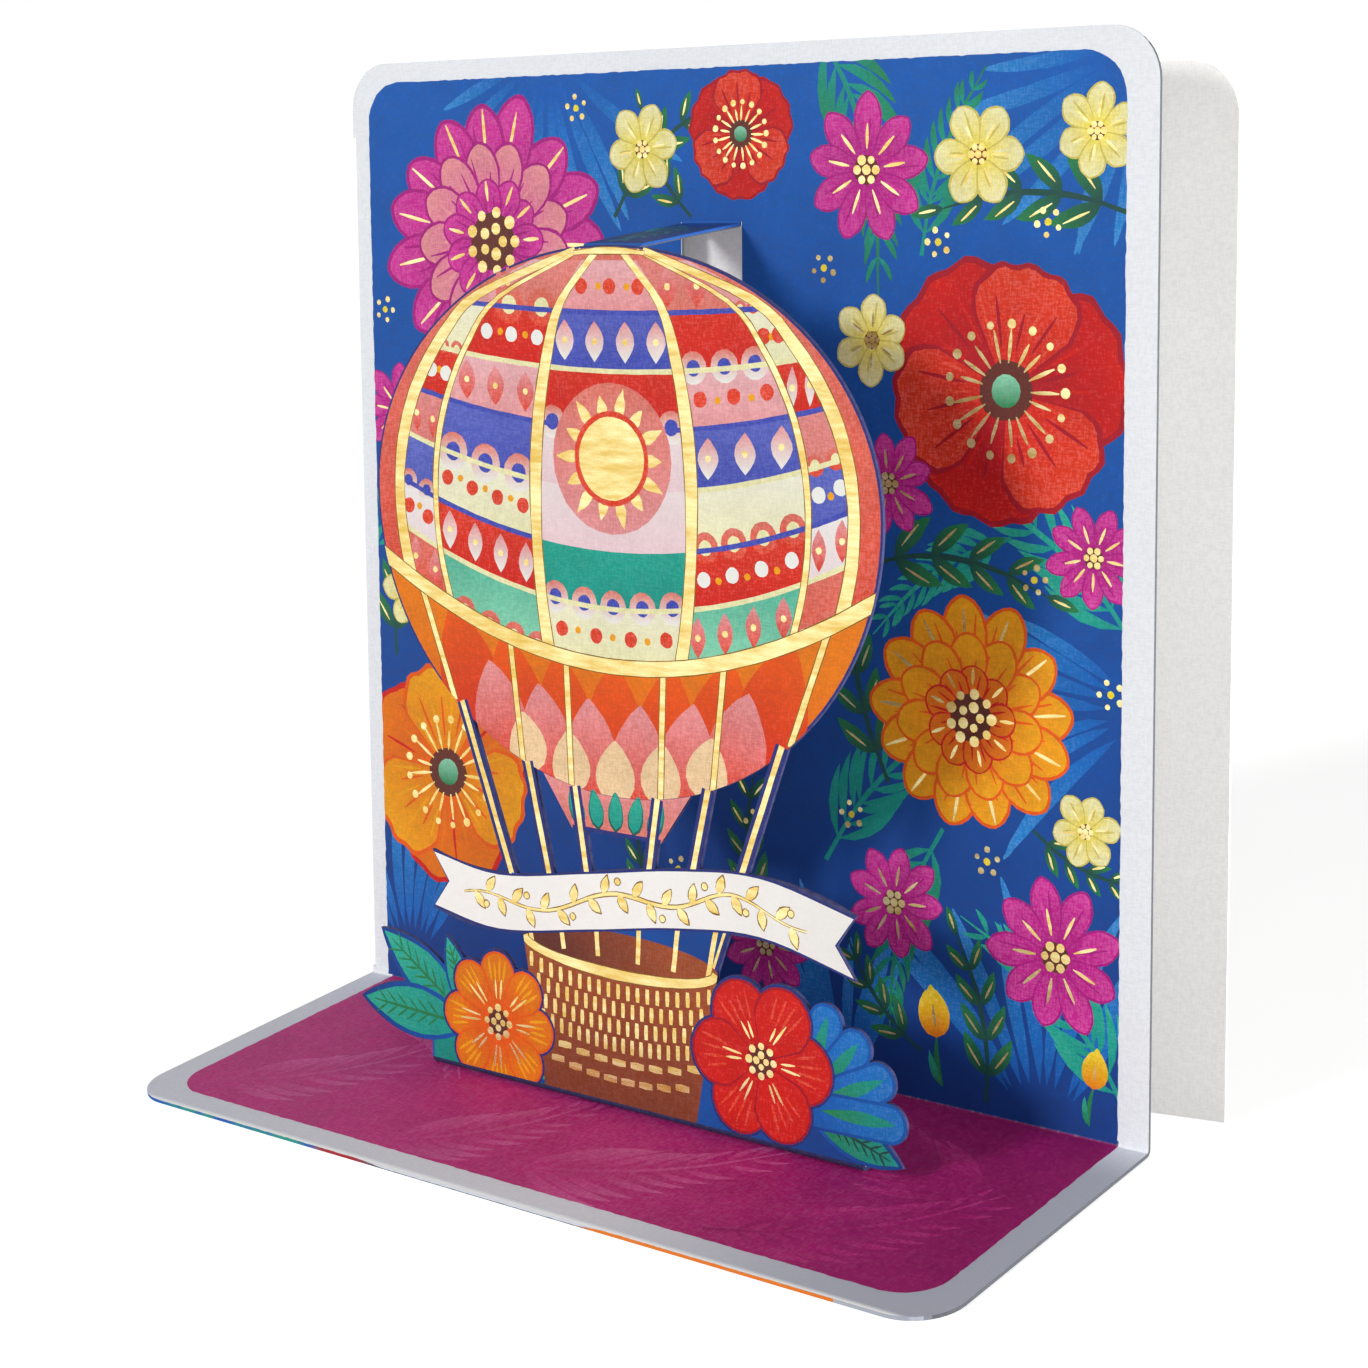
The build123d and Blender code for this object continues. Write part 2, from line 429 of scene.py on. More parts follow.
    def rich_petal(self, root: complex, angle: float, length: float, width: float, inks: Inks,
                   blunt: float = 0.55, peak: float = 1.9, streaks: int = 3) -> None:
        """Adds a petal with a darker rim and fine streaks.

        Args:
            root: Where it grows from.
            angle: Its direction in degrees.
            length: From root to end.
            width: Across its widest place.
            inks: Colours of its rim, its root and its end.
            blunt: 1 gives points, less gives round ends.
            peak: Over 1 puts the widest place further out.
            streaks: How many streaks it carries.
        """
        shade, ink, tip = inks
        inset, face_length, face_width = 0.03, 0.94, 0.87
        streak_start, streak_fan = 0.34, 17
        self.petal(root, angle, length, width, shade, blunt=blunt, peak=peak)
        self.petal(root + turned(angle) * length * inset, angle, length * face_length, width * face_width,
                   ink, tip, blunt=blunt, peak=peak)
        for k in range(streaks):
            fan = (k - (streaks - 1) / 2) * width / length * streak_fan
            way = turned(angle + fan + self.hand.uniform(-2, 2))
            reach = length * self.hand.uniform(0.62, 0.86)
            self.ray(root, way, length * streak_start, reach, width * 0.045 + self.fine,
                     tip if k % 2 else shade)

    def fan_petal(self, centre: complex, angle: float, radius: float, spread: float, inks: Inks) -> None:
        """Adds a broad petal with a ruffled rim.

        Args:
            centre: Middle of the bloom.
            angle: The petal's direction in degrees.
            radius: Its reach.
            spread: Degrees to each side.
            inks: Colours of its rim, its root and its end.
        """
        shade, ink, tip = inks
        half_steps, droop, ruffle, ruffle_rate, streaks = 10, 0.3, 0.02, 4.7, 7
        for share, colour, far in ((1.0, shade, None), (0.955, ink, tip)):
            edge = [centre]
            for k in range(2 * half_steps + 1):
                s = k / half_steps - 1
                wave = 1 + ruffle * math.sin(ruffle_rate * k + angle)
                reach = radius * share * (1 - droop * abs(s) ** 4) * wave
                edge.append(centre + turned(angle + spread * s * share) * reach)
            self.lay(edge, colour, far, (centre, centre + turned(angle) * radius), 0.08)
        for k in range(streaks):
            way = turned(angle + spread * 0.8 * (2 * k / (streaks - 1) - 1))
            first, last = self.hand.uniform(0.3, 0.42), self.hand.uniform(0.58, 0.84)
            self.ray(centre, way, radius * first, radius * last, radius * 0.022 + self.fine,
                     shade if k % 2 else tip)

    def zinnia(self, centre: complex, radius: float, inks: Sequence[Inks], petals: int,
               turn: float = 0.0) -> None:
        """Adds a full round bloom of several rings of petals.

        Args:
            centre: Middle of the bloom.
            radius: Reach of the outer ring.
            inks: Rim, root and end colour of each ring's petals, outer ring first.
            petals: Petals in the outer ring.
            turn: Degrees that the bloom is turned.
        """
        ring_step, ring_turn, fewest, overlap = 0.27, 17, 6, 5.8
        dash_start, dash_end, eye, heart = 0.6, 0.9, 0.2, 0.09
        bead = radius * 0.035
        for ring, colours in enumerate(inks):
            reach = radius * (1 - ring_step * ring)
            count = max(petals - 2 * ring, fewest)
            for k in range(count):
                angle = turn + ring_turn * ring + 360 * k / count + self.hand.uniform(-3, 3)
                self.rich_petal(centre, angle, reach * self.hand.uniform(0.93, 1.03), reach * overlap / count,
                                colours)
                if ring != 1:
                    way = turned(angle + self.hand.uniform(-2, 2))
                    self.ray(centre, way, reach * dash_start, reach * dash_end, radius * 0.02 + 0.2)
        self.disc(centre, radius * eye, Ink.UMBER, points=18)
        self.dots(centre, radius * eye, 9, bead + 0.16)
        self.dots(centre, radius * heart, 5, bead + 0.14)

    def poppy(self, centre: complex, radius: float, back: Inks, front: Inks, turn: float) -> None:
        """Adds an open bloom of six broad petals, three over three.

        Args:
            centre: Middle of the bloom.
            radius: Reach of its petals.
            back: Rim, root and end colour of the petals behind.
            front: The same for the petals in front.
            turn: Degrees that the bloom is turned.
        """
        in_row, stamens, eye, pod = 3, 17, 0.22, 0.12
        for row, inks in enumerate((back, front)):
            for k in range(in_row):
                reach = radius * (1.0 - 0.06 * row) * self.hand.uniform(0.97, 1.03)
                angle = turn + 60 * row + 120 * k + self.hand.uniform(-5, 5)
                self.fan_petal(centre, angle, reach, 50 - 8 * row, inks)
        self.disc(centre, radius * eye, Ink.UMBER, points=18, wobble=0.25)
        self.disc(centre, radius * pod, Ink.GREEN, Ink.MINT)
        self.dashes(centre, radius * 0.2, radius * 0.44, stamens, radius * 0.018 + 0.24)
        self.dots(centre, radius * 0.48, stamens, radius * 0.022 + 0.26)

    def daisy(self, centre: complex, radius: float, petals: int, inks: Inks, turn: float) -> None:
        """Adds a bloom of narrow petals with a dash of foil on each.

        Args:
            centre: Middle of the bloom.
            radius: Reach of its petals.
            petals: How many petals.
            inks: Colours of their rims, roots and ends.
            turn: Degrees that the bloom is turned.
        """
        overlap, eye, dash_start, dash_end = 4.1, 0.2, 0.28, 0.62
        for k in range(petals):
            angle = turn + 360 * k / petals + self.hand.uniform(-4, 4)
            self.rich_petal(centre, angle, radius * self.hand.uniform(0.92, 1.05), radius * overlap / petals,
                            inks, blunt=0.62, peak=1.6, streaks=2)
            self.ray(centre, turned(angle), radius * dash_start, radius * dash_end, radius * 0.03 + 0.24)
        self.disc(centre, radius * eye, Ink.UMBER, points=12)
        self.dots(centre, radius * 0.15, 6, radius * 0.05 + 0.14)
        self.disc(centre, radius * 0.06 + 0.14, Ink.GOLD, points=9)

    def tulip(self, foot: complex, angle: float, size: float, root: Ink, tip: Ink) -> None:
        """Adds a cup-shaped bud on a short stem.

        Args:
            foot: Foot of the stem.
            angle: Its direction in degrees.
            size: Height of the bud.
            root: Colour at the bud's foot.
            tip: Colour at its top.
        """
        way = turned(angle)
        stem, stem_width, leaf_lean, cup_lean, cup_width = 0.9, 0.11, 32, 24, 0.46
        neck = foot + way * size * stem
        self.stroke([foot, foot + way * size * 0.5 * turned(6), neck], size * stem_width, Ink.GREEN)
        self.petal(foot, angle + leaf_lean, size * 0.7, size * 0.16, Ink.GREEN, Ink.SEA_GREEN, blunt=0.9,
                   peak=0.9, bend=-leaf_lean / 2)
        for lean, reach in ((cup_lean, 0.9), (-cup_lean, 0.9), (0, 1.0)):
            self.petal(neck, angle + lean, size * reach, size * cup_width, root, tip, blunt=0.75, peak=0.9,
                       bend=-lean * 0.7)
        self.ray(neck, way, size * 0.2, size * 0.62, size * 0.045 + 0.1)

    def stem(self, root: complex, angle: float, length: float, bend: float, stops: Sequence[float],
             steps: int) -> tuple[list[complex], list[complex]]:
        """Bends a stem for leaves to grow on.

        Args:
            root: Foot of the stem.
            angle: Its direction at the foot.
            length: Along the stem.
            bend: Degrees that it turns.
            stops: Shares of its length where it is bent.
            steps: Pieces between two stops.

        Returns:
            The places where it is bent, and points along its rounded line.
        """
        places = [root + turned(angle + bend * t) * length * t for t in stops]
        return places, smooth_line(places, steps)

    def sprig(self, root: complex, angle: float, length: float, bend: float) -> None:
        """Adds a dark stem with pairs of pointed leaves and one at its end, each with a dash of foil.

        Args:
            root: Foot of the stem.
            angle: Its direction at the foot.
            length: Along the stem.
            bend: Degrees that it turns.
        """
        pairs, first, leaf, leaf_lean, dash = 4, 0.2, 0.3, 46, 0.42
        places, line = self.stem(root, angle, length, bend, (0, 0.25, 0.5, 0.75, 1.0), 6)
        self.stroke(places, length * 0.018 + 0.4, Ink.BOTTLE, start=0.8, end=0.3)
        for k in range(pairs + 1):
            t = first + (1 - first) * k / pairs
            place = line[min(int(t * (len(line) - 1)), len(line) - 1)]
            heading = angle + bend * t * 1.6
            reach = length * leaf * (1.08 - 0.45 * t)
            for side in ((1, -1) if k < pairs else (0,)):
                way = heading + side * leaf_lean
                self.petal(place, way, reach, reach * 0.34, Ink.BOTTLE, Ink.GREEN, blunt=0.85, peak=0.9,
                           bend=-side * 12)
                ends = [place + turned(way) * reach * 0.25, place + turned(way - side * 6) * reach * 0.75]
                self.stroke(ends, dash, Ink.GOLD, steps=3)

    def fern(self, root: complex, angle: float, length: float, pairs: int, ink: Ink, tip: Ink,
             bend: float = 20.0, reach: float = 0.34) -> None:
        """Adds a frond of thin leaflets along a bending stem.

        Args:
            root: Foot of the stem.
            angle: Its direction at the foot.
            length: Along the stem.
            pairs: Pairs of leaflets.
            ink: Colour at the foot of stem and leaflets.
            tip: Colour at their ends.
            bend: Degrees that the stem turns.
            reach: Length of the lowest leaflets, as a share of the stem.
        """
        first, spread, leaf_lean, leaf_bend = 0.14, 0.84, 50, 20
        places, line = self.stem(root, angle, length, bend, (0, 0.3, 0.65, 1.0), 8)
        self.stroke(places, length * 0.014 + 0.35, ink, tip, start=0.9, end=0.3)
        for k in range(pairs):
            t = first + spread * k / pairs
            place = line[int(t * (len(line) - 1))]
            heading = angle + bend * t * 1.7
            size = length * reach * (1.05 - 0.8 * t) * self.hand.uniform(0.9, 1.08)
            for side in (1, -1):
                self.petal(place, heading + side * leaf_lean, size, size * 0.1 + 0.5, ink, tip, blunt=0.8,
                           peak=1.0, bend=-side * leaf_bend, steps=6)

    def blades(self, root: complex, first: float, last: float, count: int, length: float) -> None:
        """Adds a fan of long grassy leaves, blue on blue.

        Args:
            root: Where they meet.
            first: Direction of the first leaf in degrees.
            last: Direction of the last leaf.
            count: How many leaves.
            length: Of the longest leaf.
        """
        for k in range(count):
            angle = first + (last - first) * k / (count - 1) + self.hand.uniform(-3, 3)
            reach = length * self.hand.uniform(0.5, 0.84)
            self.petal(root + turned(angle) * length * 0.22, angle, reach, reach * 0.06 + 0.9, Ink.COBALT,
                       Ink.SKY, blunt=0.6, peak=1.0, bend=self.hand.uniform(-12, 12))


def placed(name: str, data: bpy.types.ID) -> bpy.types.Object:
    """Makes an object of a mesh, lamp or camera and puts it in the scene.

    Args:
        name: The object's name.
        data: What it shows.

    Returns:
        The object, at the origin.
    """
    holder = bpy.data.objects.new(name, data)
    bpy.context.scene.collection.objects.link(holder)
    return holder


@dataclass
class Film:
    """A printed film that lies on one flat face, cut out of a drawing."""

    name: str
    plane: Matrix
    drawing: Drawing
    clip: list[complex]
    lift: float = 0.01
    thickness: float = 0.03
    fineness: float = 1e-4

    def reached(self) -> list[Patch]:
        """Finds the drawing's patches that reach into the clip's width.

        Returns:
            The patches, lowest first.
        """
        left, right = min(p.real for p in self.clip), max(p.real for p in self.clip)
        return [patch for patch in self.drawing.patches
                if max(p.real for p in patch.outline) > left and min(p.real for p in patch.outline) < right]

    def divide(self, patches: Sequence[Patch]) -> tuple[np.ndarray, list[list[int]], np.ndarray]:
        """Divides the face into triangles along every outline.

        Args:
            patches: Areas of ink and foil, lowest first.

        Returns:
            The corners, each triangle's corner numbers, and the number of each triangle's topmost patch,
            which is -1 off the film.
        """
        places, edges = [], []
        for outline in [self.clip, *[patch.outline for patch in patches]]:
            start, count = len(places), len(outline)
            places += [Vector((p.real, p.imag)) for p in outline]
            edges += [(start + k, start + (k + 1) % count) for k in range(count)]
        corners, _, faces, *_ = delaunay_2d_cdt(places, edges, [], 0, self.fineness, False)
        spots = np.array([complex(v.x, v.y) for v in corners])
        middles = spots[np.array(faces)].mean(axis=1)
        owner = np.full(len(faces), -1)
        for number, patch in enumerate(patches):
            owner[patch.holds(middles)] = number
        owner[~Patch(self.clip, Ink.IVORY).holds(middles)] = -1
        if self.drawing.dies:
            owner[~np.any([die.holds(middles) for die in self.drawing.dies], axis=0)] = -1
        return spots, faces, owner

    def shell(self, patches: Sequence[Patch]) -> bpy.types.Mesh:
        """Builds the film's closed mesh, with a colour on every corner of its faces.

        Args:
            patches: Areas of ink and foil, lowest first.

        Returns:
            The mesh, with ink in its first material slot and foil in its second.
        """
        shell = bmesh.new()
        paint = shell.loops.layers.float_color.new("paint")
        made: dict[int, bmesh.types.BMVert] = {}
        spots, faces, owner = self.divide(patches)
        for face, number in zip(faces, owner):
            if number < 0:
                continue
            patch = patches[number]
            for corner in face:
                if corner not in made:
                    made[corner] = shell.verts.new((spots[corner].real, spots[corner].imag, self.lift))
            cell = shell.faces.new([made[corner] for corner in face])
            cell.material_index = int(patch.ink is Ink.GOLD)
            for loop, corner in zip(cell.loops, face):
                loop[paint] = patch.colour(complex(spots[corner]))
        shell.normal_update()
        bmesh.ops.solidify(shell, geom=shell.faces[:], thickness=-self.thickness)
        bmesh.ops.transform(shell, matrix=self.plane, verts=shell.verts[:])
        if shell.calc_volume(signed=True) < 0:
            bmesh.ops.reverse_faces(shell, faces=shell.faces[:])
        mesh = bpy.data.meshes.new(self.name)
        shell.to_mesh(mesh)
        shell.free()
        return mesh

    def build(self, finishes: Sequence[Material], slot: str) -> None:
        """Makes the film, which rides on the card.

        Args:
            finishes: Materials for ink and for foil.
            slot: Not used.
        """
        patches = self.reached()
        mesh = self.shell(patches)
        for finish in finishes:
            mesh.materials.append(finish)
        piece = placed(self.name, mesh)
        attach(piece, "root")
        log.info("%s: %d patches, %d faces", self.name, len(patches), len(mesh.polygons))


class Nodes:
    """Places shader nodes in one tree and links them."""

    def __init__(self, tree: bpy.types.NodeTree) -> None:
        """Takes the tree to fill."""
        self.tree = tree

    def add(self, kind: str, **values: object) -> bpy.types.Node:
        """Adds a node.

        Args:
            kind: Its type name, without the common prefix.
            **values: Properties, or input values by socket name.

        Returns:
            The node.
        """
        node = self.tree.nodes.new("ShaderNode" + kind)
        for key, value in values.items():
            if hasattr(node, key):
                setattr(node, key, value)
            else:
                self.feed(node, key, value)
        return node

    def feed(self, node: bpy.types.Node, name: str | int, value: object) -> None:
        """Feeds one input of a node.

        Args:
            node: The node.
            name: The input's name or number.
            value: A socket to link, an ink or sRGB hex colour, or a plain value.
        """
        if isinstance(value, Socket):
            self.tree.links.new(value, node.inputs[name])
            return
        if isinstance(value, Ink):
            value = value.value
        node.inputs[name].default_value = hex_rgba(value) if isinstance(value, str) else value

    def math(self, operation: str, first: object, second: object = 0.0) -> Socket:
        """Adds a math node.

        Args:
            operation: What it works out.
            first: First number or socket.
            second: Second number or socket.

        Returns:
            The result.
        """
        node = self.add("Math", operation=operation)
        for index, value in enumerate((first, second)):
            self.feed(node, index, value)
        return node.outputs[0]

    def times(self, first: object, second: object) -> Socket:
        """The product of two values."""
        return self.math("MULTIPLY", first, second)

    def plus(self, first: object, second: object) -> Socket:
        """The sum of two values."""
        return self.math("ADD", first, second)

    def minus(self, first: object, second: object) -> Socket:
        """The first value less the second."""
        return self.math("SUBTRACT", first, second)

    def larger(self, first: object, second: object) -> Socket:
        """The larger of two values."""
        return self.math("MAXIMUM", first, second)

    def rest(self, mask: object) -> Socket:
        """The opposite of a mask."""
        return self.minus(1.0, mask)

    def under(self, value: object, limit: object) -> Socket:
        """1 where a value is less than a limit, and 0 elsewhere."""
        return self.math("LESS_THAN", value, limit)

    def over(self, value: object, limit: object) -> Socket:
        """1 where a value is more than a limit, and 0 elsewhere."""
        return self.math("GREATER_THAN", value, limit)

    def unsigned(self, value: object) -> Socket:
        """A value without its sign."""
        return self.math("ABSOLUTE", value)

    def ramp(self, value: object, ends: Pair, unit: float = 1.0) -> Socket:
        """Adds a smooth step.

        Args:
            value: What the step depends on.
            ends: Values where it gives 0 and where it gives 1.
            unit: What the two ends are counted in.

        Returns:
            The step.
        """
        node = self.add("MapRange", interpolation_type="SMOOTHSTEP", Value=value)
        for name, end in zip(("From Min", "From Max"), ends):
            self.feed(node, name, end * unit)
        return node.outputs[0]

    def blend(self, share: object, first: object, second: object) -> Socket:
        """Adds a mix of two colours.

        Args:
            share: How much of the second colour shows.
            first: Socket, ink or hex value of the first colour.
            second: The same for the second colour.

        Returns:
            The mixed colour.
        """
        node = self.add("Mix", data_type="RGBA")
        for index, value in ((0, share), (6, first), (7, second)):
            self.feed(node, index, value)
        return node.outputs[2]

    def noise(self, place: object, scale: float = 1.0, detail: float = 2.0, rough: float = 0.5) -> Socket:
        """The value of a noise texture at a place."""
        return self.add("TexNoise", Vector=place, Scale=scale, Detail=detail, Roughness=rough).outputs[0]

    def stretched(self, place: object, scale: Triple, turn: Triple = (0.0, 0.0, 0.0)) -> Socket:
        """A place that is scaled and turned before a texture reads it."""
        return self.add("Mapping", Vector=place, Scale=scale, Rotation=turn).outputs[0]

    def split(self, vector: object) -> Sockets:
        """The X, Y and Z of a vector."""
        return self.add("SeparateXYZ", Vector=vector).outputs

    def effect(self, name: str, **inputs: Socket) -> Sockets:
        """What a shared effect gives for some inputs."""
        return self.add("Group", node_tree=bpy.data.node_groups[name], **inputs).outputs

    def looked_at(self) -> Socket:
        """Tells the rays that show a surface from those that only light others.

        Returns:
            1 for rays from the camera, from a gloss or through a clear thing, and 0 for others.
        """
        rays = self.add("LightPath").outputs
        through = self.larger(rays["Is Glossy Ray"], rays["Is Transmission Ray"])
        return self.larger(rays["Is Camera Ray"], through)


@dataclass(frozen=True)
class Effect:
    """A shader group that finishes share."""

    name: str

    def start(self, inputs: dict[str, str], outputs: dict[str, str]) -> tuple[Nodes, Sockets, bpy.types.Node]:
        """Starts the group with named sockets.

        Args:
            inputs: Kind of each input, by its name.
            outputs: Kind of each output, by its name.

        Returns:
            The group's node placer, what comes in, and the node that takes what goes out.
        """
        tree = bpy.data.node_groups.new(self.name, "ShaderNodeTree")
        for way, sockets in (("INPUT", inputs), ("OUTPUT", outputs)):
            for label, kind in sockets.items():
                tree.interface.new_socket(label, in_out=way, socket_type="NodeSocket" + kind)
        return Nodes(tree), tree.nodes.new("NodeGroupInput").outputs, tree.nodes.new("NodeGroupOutput")


@dataclass(frozen=True)
class PaperTooth(Effect):
    """The fine felt marking of uncoated card: its height, and a fleck that follows it."""

    name: str = "paper_tooth"
    warp: Triple = (3600.0, 900.0, 900.0)
    weft: Triple = (900.0, 3600.0, 3600.0)
    fibre: float = 4200.0
    fibre_rough: float = 0.6
    thread_share: float = 0.4
    fibre_share: float = 0.2
    fleck_step: Pair = (0.4, 0.62)

    def build(self) -> None:
        """Builds the group."""
        n, source, sink = self.start({"Place": "Vector"}, {"Height": "Float", "Fleck": "Float"})
        place = source["Place"]
        threads = n.plus(*[n.noise(n.stretched(place, scale)) for scale in (self.warp, self.weft)])
        fibre = n.noise(place, self.fibre, rough=self.fibre_rough)
        height = n.plus(n.times(threads, self.thread_share), n.times(fibre, self.fibre_share))
        n.feed(sink, "Height", height)
        n.feed(sink, "Fleck", n.ramp(height, self.fleck_step))


@dataclass(frozen=True)
class BrushWash(Effect):
    """Opaque paint laid by brush: pooled tone, dry streaks and grain over a colour."""

    name: str = "brush_wash"
    detail: float = 4.0
    pool: float = 110.0
    pool_rough: float = 0.6
    pool_step: Pair = (0.32, 0.68)
    pool_share: float = 0.14
    streak: Triple = (420.0, 900.0, 900.0)
    streak_turn: Triple = (0.3, 0.5, 0.0)
    streak_rough: float = 0.65
    streak_step: Pair = (0.3, 0.7)
    streak_share: float = 0.08
    grain_step: Pair = (0.4, 0.62)
    grain_share: float = 0.17
    pale_step: Pair = (-0.15, 0.6)
    middle_tone: float = 0.19
    least_value: float = 0.82
    saturation: float = 1.12
    grain_fade: float = -0.12
    dry_share: float = 0.2

    def build(self) -> None:
        """Builds the group."""
        n, source, sink = self.start({"Colour": "Color", "Place": "Vector", "Tooth": "Float"},
                                     {"Colour": "Color", "Dryness": "Float"})
        colour, place = source["Colour"], source["Place"]
        pool = n.ramp(n.noise(place, self.pool, self.detail, self.pool_rough), self.pool_step)
        spread = n.stretched(place, self.streak, self.streak_turn)
        streak = n.ramp(n.noise(spread, 1.0, self.detail, self.streak_rough), self.streak_step)
        grain = n.ramp(source["Tooth"], self.grain_step)
        tone = n.plus(n.times(pool, self.pool_share), n.times(streak, self.streak_share))
        tone = n.plus(tone, n.times(grain, self.grain_share))
        # Pale colours keep a calmer tone
        calm = n.ramp(n.add("SeparateColor", mode="HSV", Color=colour).outputs[1], self.pale_step)
        tone = n.plus(n.times(n.minus(tone, self.middle_tone), calm), self.middle_tone)
        painted = n.add("HueSaturation", Color=colour, Value=n.plus(tone, self.least_value))
        n.feed(painted, "Saturation", n.plus(n.times(grain, self.grain_fade), self.saturation))
        n.feed(sink, "Colour", painted.outputs[0])
        n.feed(sink, "Dryness", n.plus(n.times(streak, self.dry_share), n.times(grain, self.dry_share)))


@dataclass(frozen=True)
class FoilCrinkle(Effect):
    """Pressed metal foil: level ripples from the card's tooth, and a tone that follows them as painted glints
    and shade.
    """

    name: str = "foil_crinkle"
    rough: float = 0.6
    ripple: Triple = (170.0, 170.0, 950.0)
    ripple_detail: float = 4.0
    grain: float = 2600.0
    grain_share: float = 0.35
    broad: float = 70.0
    ripple_tone: float = 0.6
    broad_tone: float = 0.4
    tone_step: Pair = (0.32, 0.66)

    def build(self) -> None:
        """Builds the group."""
        n, source, sink = self.start({"Place": "Vector"}, {"Height": "Float", "Tone": "Float"})
        place = source["Place"]
        ripple = n.noise(n.stretched(place, self.ripple), 1.0, self.ripple_detail, self.rough)
        grain = n.noise(place, self.grain, rough=self.rough)
        broad = n.noise(place, self.broad)
        n.feed(sink, "Height", n.plus(ripple, n.times(grain, self.grain_share)))
        # Painted glints and shade: the foil's tone follows the ripples and a broad noise
        tone = n.plus(n.times(ripple, self.ripple_tone), n.times(broad, self.broad_tone))
        n.feed(sink, "Tone", n.ramp(tone, self.tone_step))


@dataclass(frozen=True)
class Finish:
    """A surface of the card, with its least roughness and the depth of its relief in millimetres."""

    name: str
    roughness: float
    relief: float

    def start(self) -> tuple[Material, Nodes, bpy.types.Node, Socket]:
        """Starts a material.

        Returns:
            The material, its node placer, its shader and the Object coordinates.
        """
        finish = bpy.data.materials.new(self.name)
        finish.use_nodes = True
        n = Nodes(finish.node_tree)
        return finish, n, finish.node_tree.nodes["Principled BSDF"], n.add("TexCoord").outputs["Object"]

    def coat(self, n: Nodes, shader: bpy.types.Node, colour: Socket, uneven: Socket, height: Socket) -> None:
        """Feeds the shader its colour, its roughness and its bump.

        Args:
            n: The material's node placer.
            shader: Its shader.
            colour: Its colour.
            uneven: What is added to the least roughness.
            height: Height of the bump, as a share of the relief.
        """
        n.feed(shader, "Base Color", colour)
        n.feed(shader, "Roughness", n.plus(uneven, self.roughness))
        bump = n.add("Bump", Strength=1.0, Distance=self.relief * MM, Height=height)
        n.feed(shader, "Normal", bump.outputs[0])


@dataclass(frozen=True)
class Paint(Finish):
    """Printed paint, whose colour each face carries."""

    gloss: float = 0.32
    dry_share: float = 0.5

    def material(self) -> Material:
        """Builds the finish.

        Returns:
            The material.
        """
        finish, n, shader, place = self.start()
        colour = n.add("Attribute", attribute_name="paint", attribute_type="GEOMETRY").outputs["Color"]
        height = n.effect("paper_tooth", Place=place)["Height"]
        wash = n.effect("brush_wash", Colour=colour, Place=place, Tooth=height)
        n.feed(shader, "Specular IOR Level", self.gloss)
        self.coat(n, shader, wash["Colour"], n.times(wash["Dryness"], self.dry_share), height)
        return finish


@dataclass(frozen=True)
class Foil(Finish):
    """Gold foil pressed into the card."""

    # Painted shade and painted glint of the foil
    deep: str = "e4bd5b"
    pale: str = "fff3b2"
    metal: float = 0.82
    ripple_share: float = 0.16

    def material(self) -> Material:
        """Builds the finish.

        Returns:
            The material.
        """
        finish, n, shader, place = self.start()
        crinkle = n.effect("foil_crinkle", Place=place)
        # The foil's colour is mixed from painted shade and painted glint by the ripple tone
        colour = n.blend(crinkle["Tone"], self.deep, self.pale)
        n.feed(shader, "Metallic", self.metal)
        self.coat(n, shader, colour, n.times(crinkle["Height"], self.ripple_share), crinkle["Height"])
        return finish


@dataclass(frozen=True)
class Stock(Finish):
    """Card with a visible tooth, as it shows where no film covers it."""

    white: str = "f4f7fb"
    speck: str = "a4a8b4"
    speck_share: float = 0.14
    speck_roughness: float = 0.1

    def behind(self, n: Nodes, axes: Sockets, foot_y: float, foot_z: float) -> Socket:
        """How far a place lies behind a leaning plane.

        Args:
            n: The material's node placer.
            axes: Object coordinates.
            foot_y: Y of the plane's foot line in millimetres.
            foot_z: Its Z.

        Returns:
            The distance in metres.
        """
        back = n.times(n.minus(axes[1], foot_y * MM), math.cos(LEAN))
        return n.minus(back, n.times(n.minus(axes[2], foot_z * MM), math.sin(LEAN)))

    def specked(self, n: Nodes, fleck: Socket, colour: Socket) -> Socket:
        """A colour with the specks of the card's tooth in it."""
        return n.blend(n.times(fleck, self.speck_share), colour, self.speck)


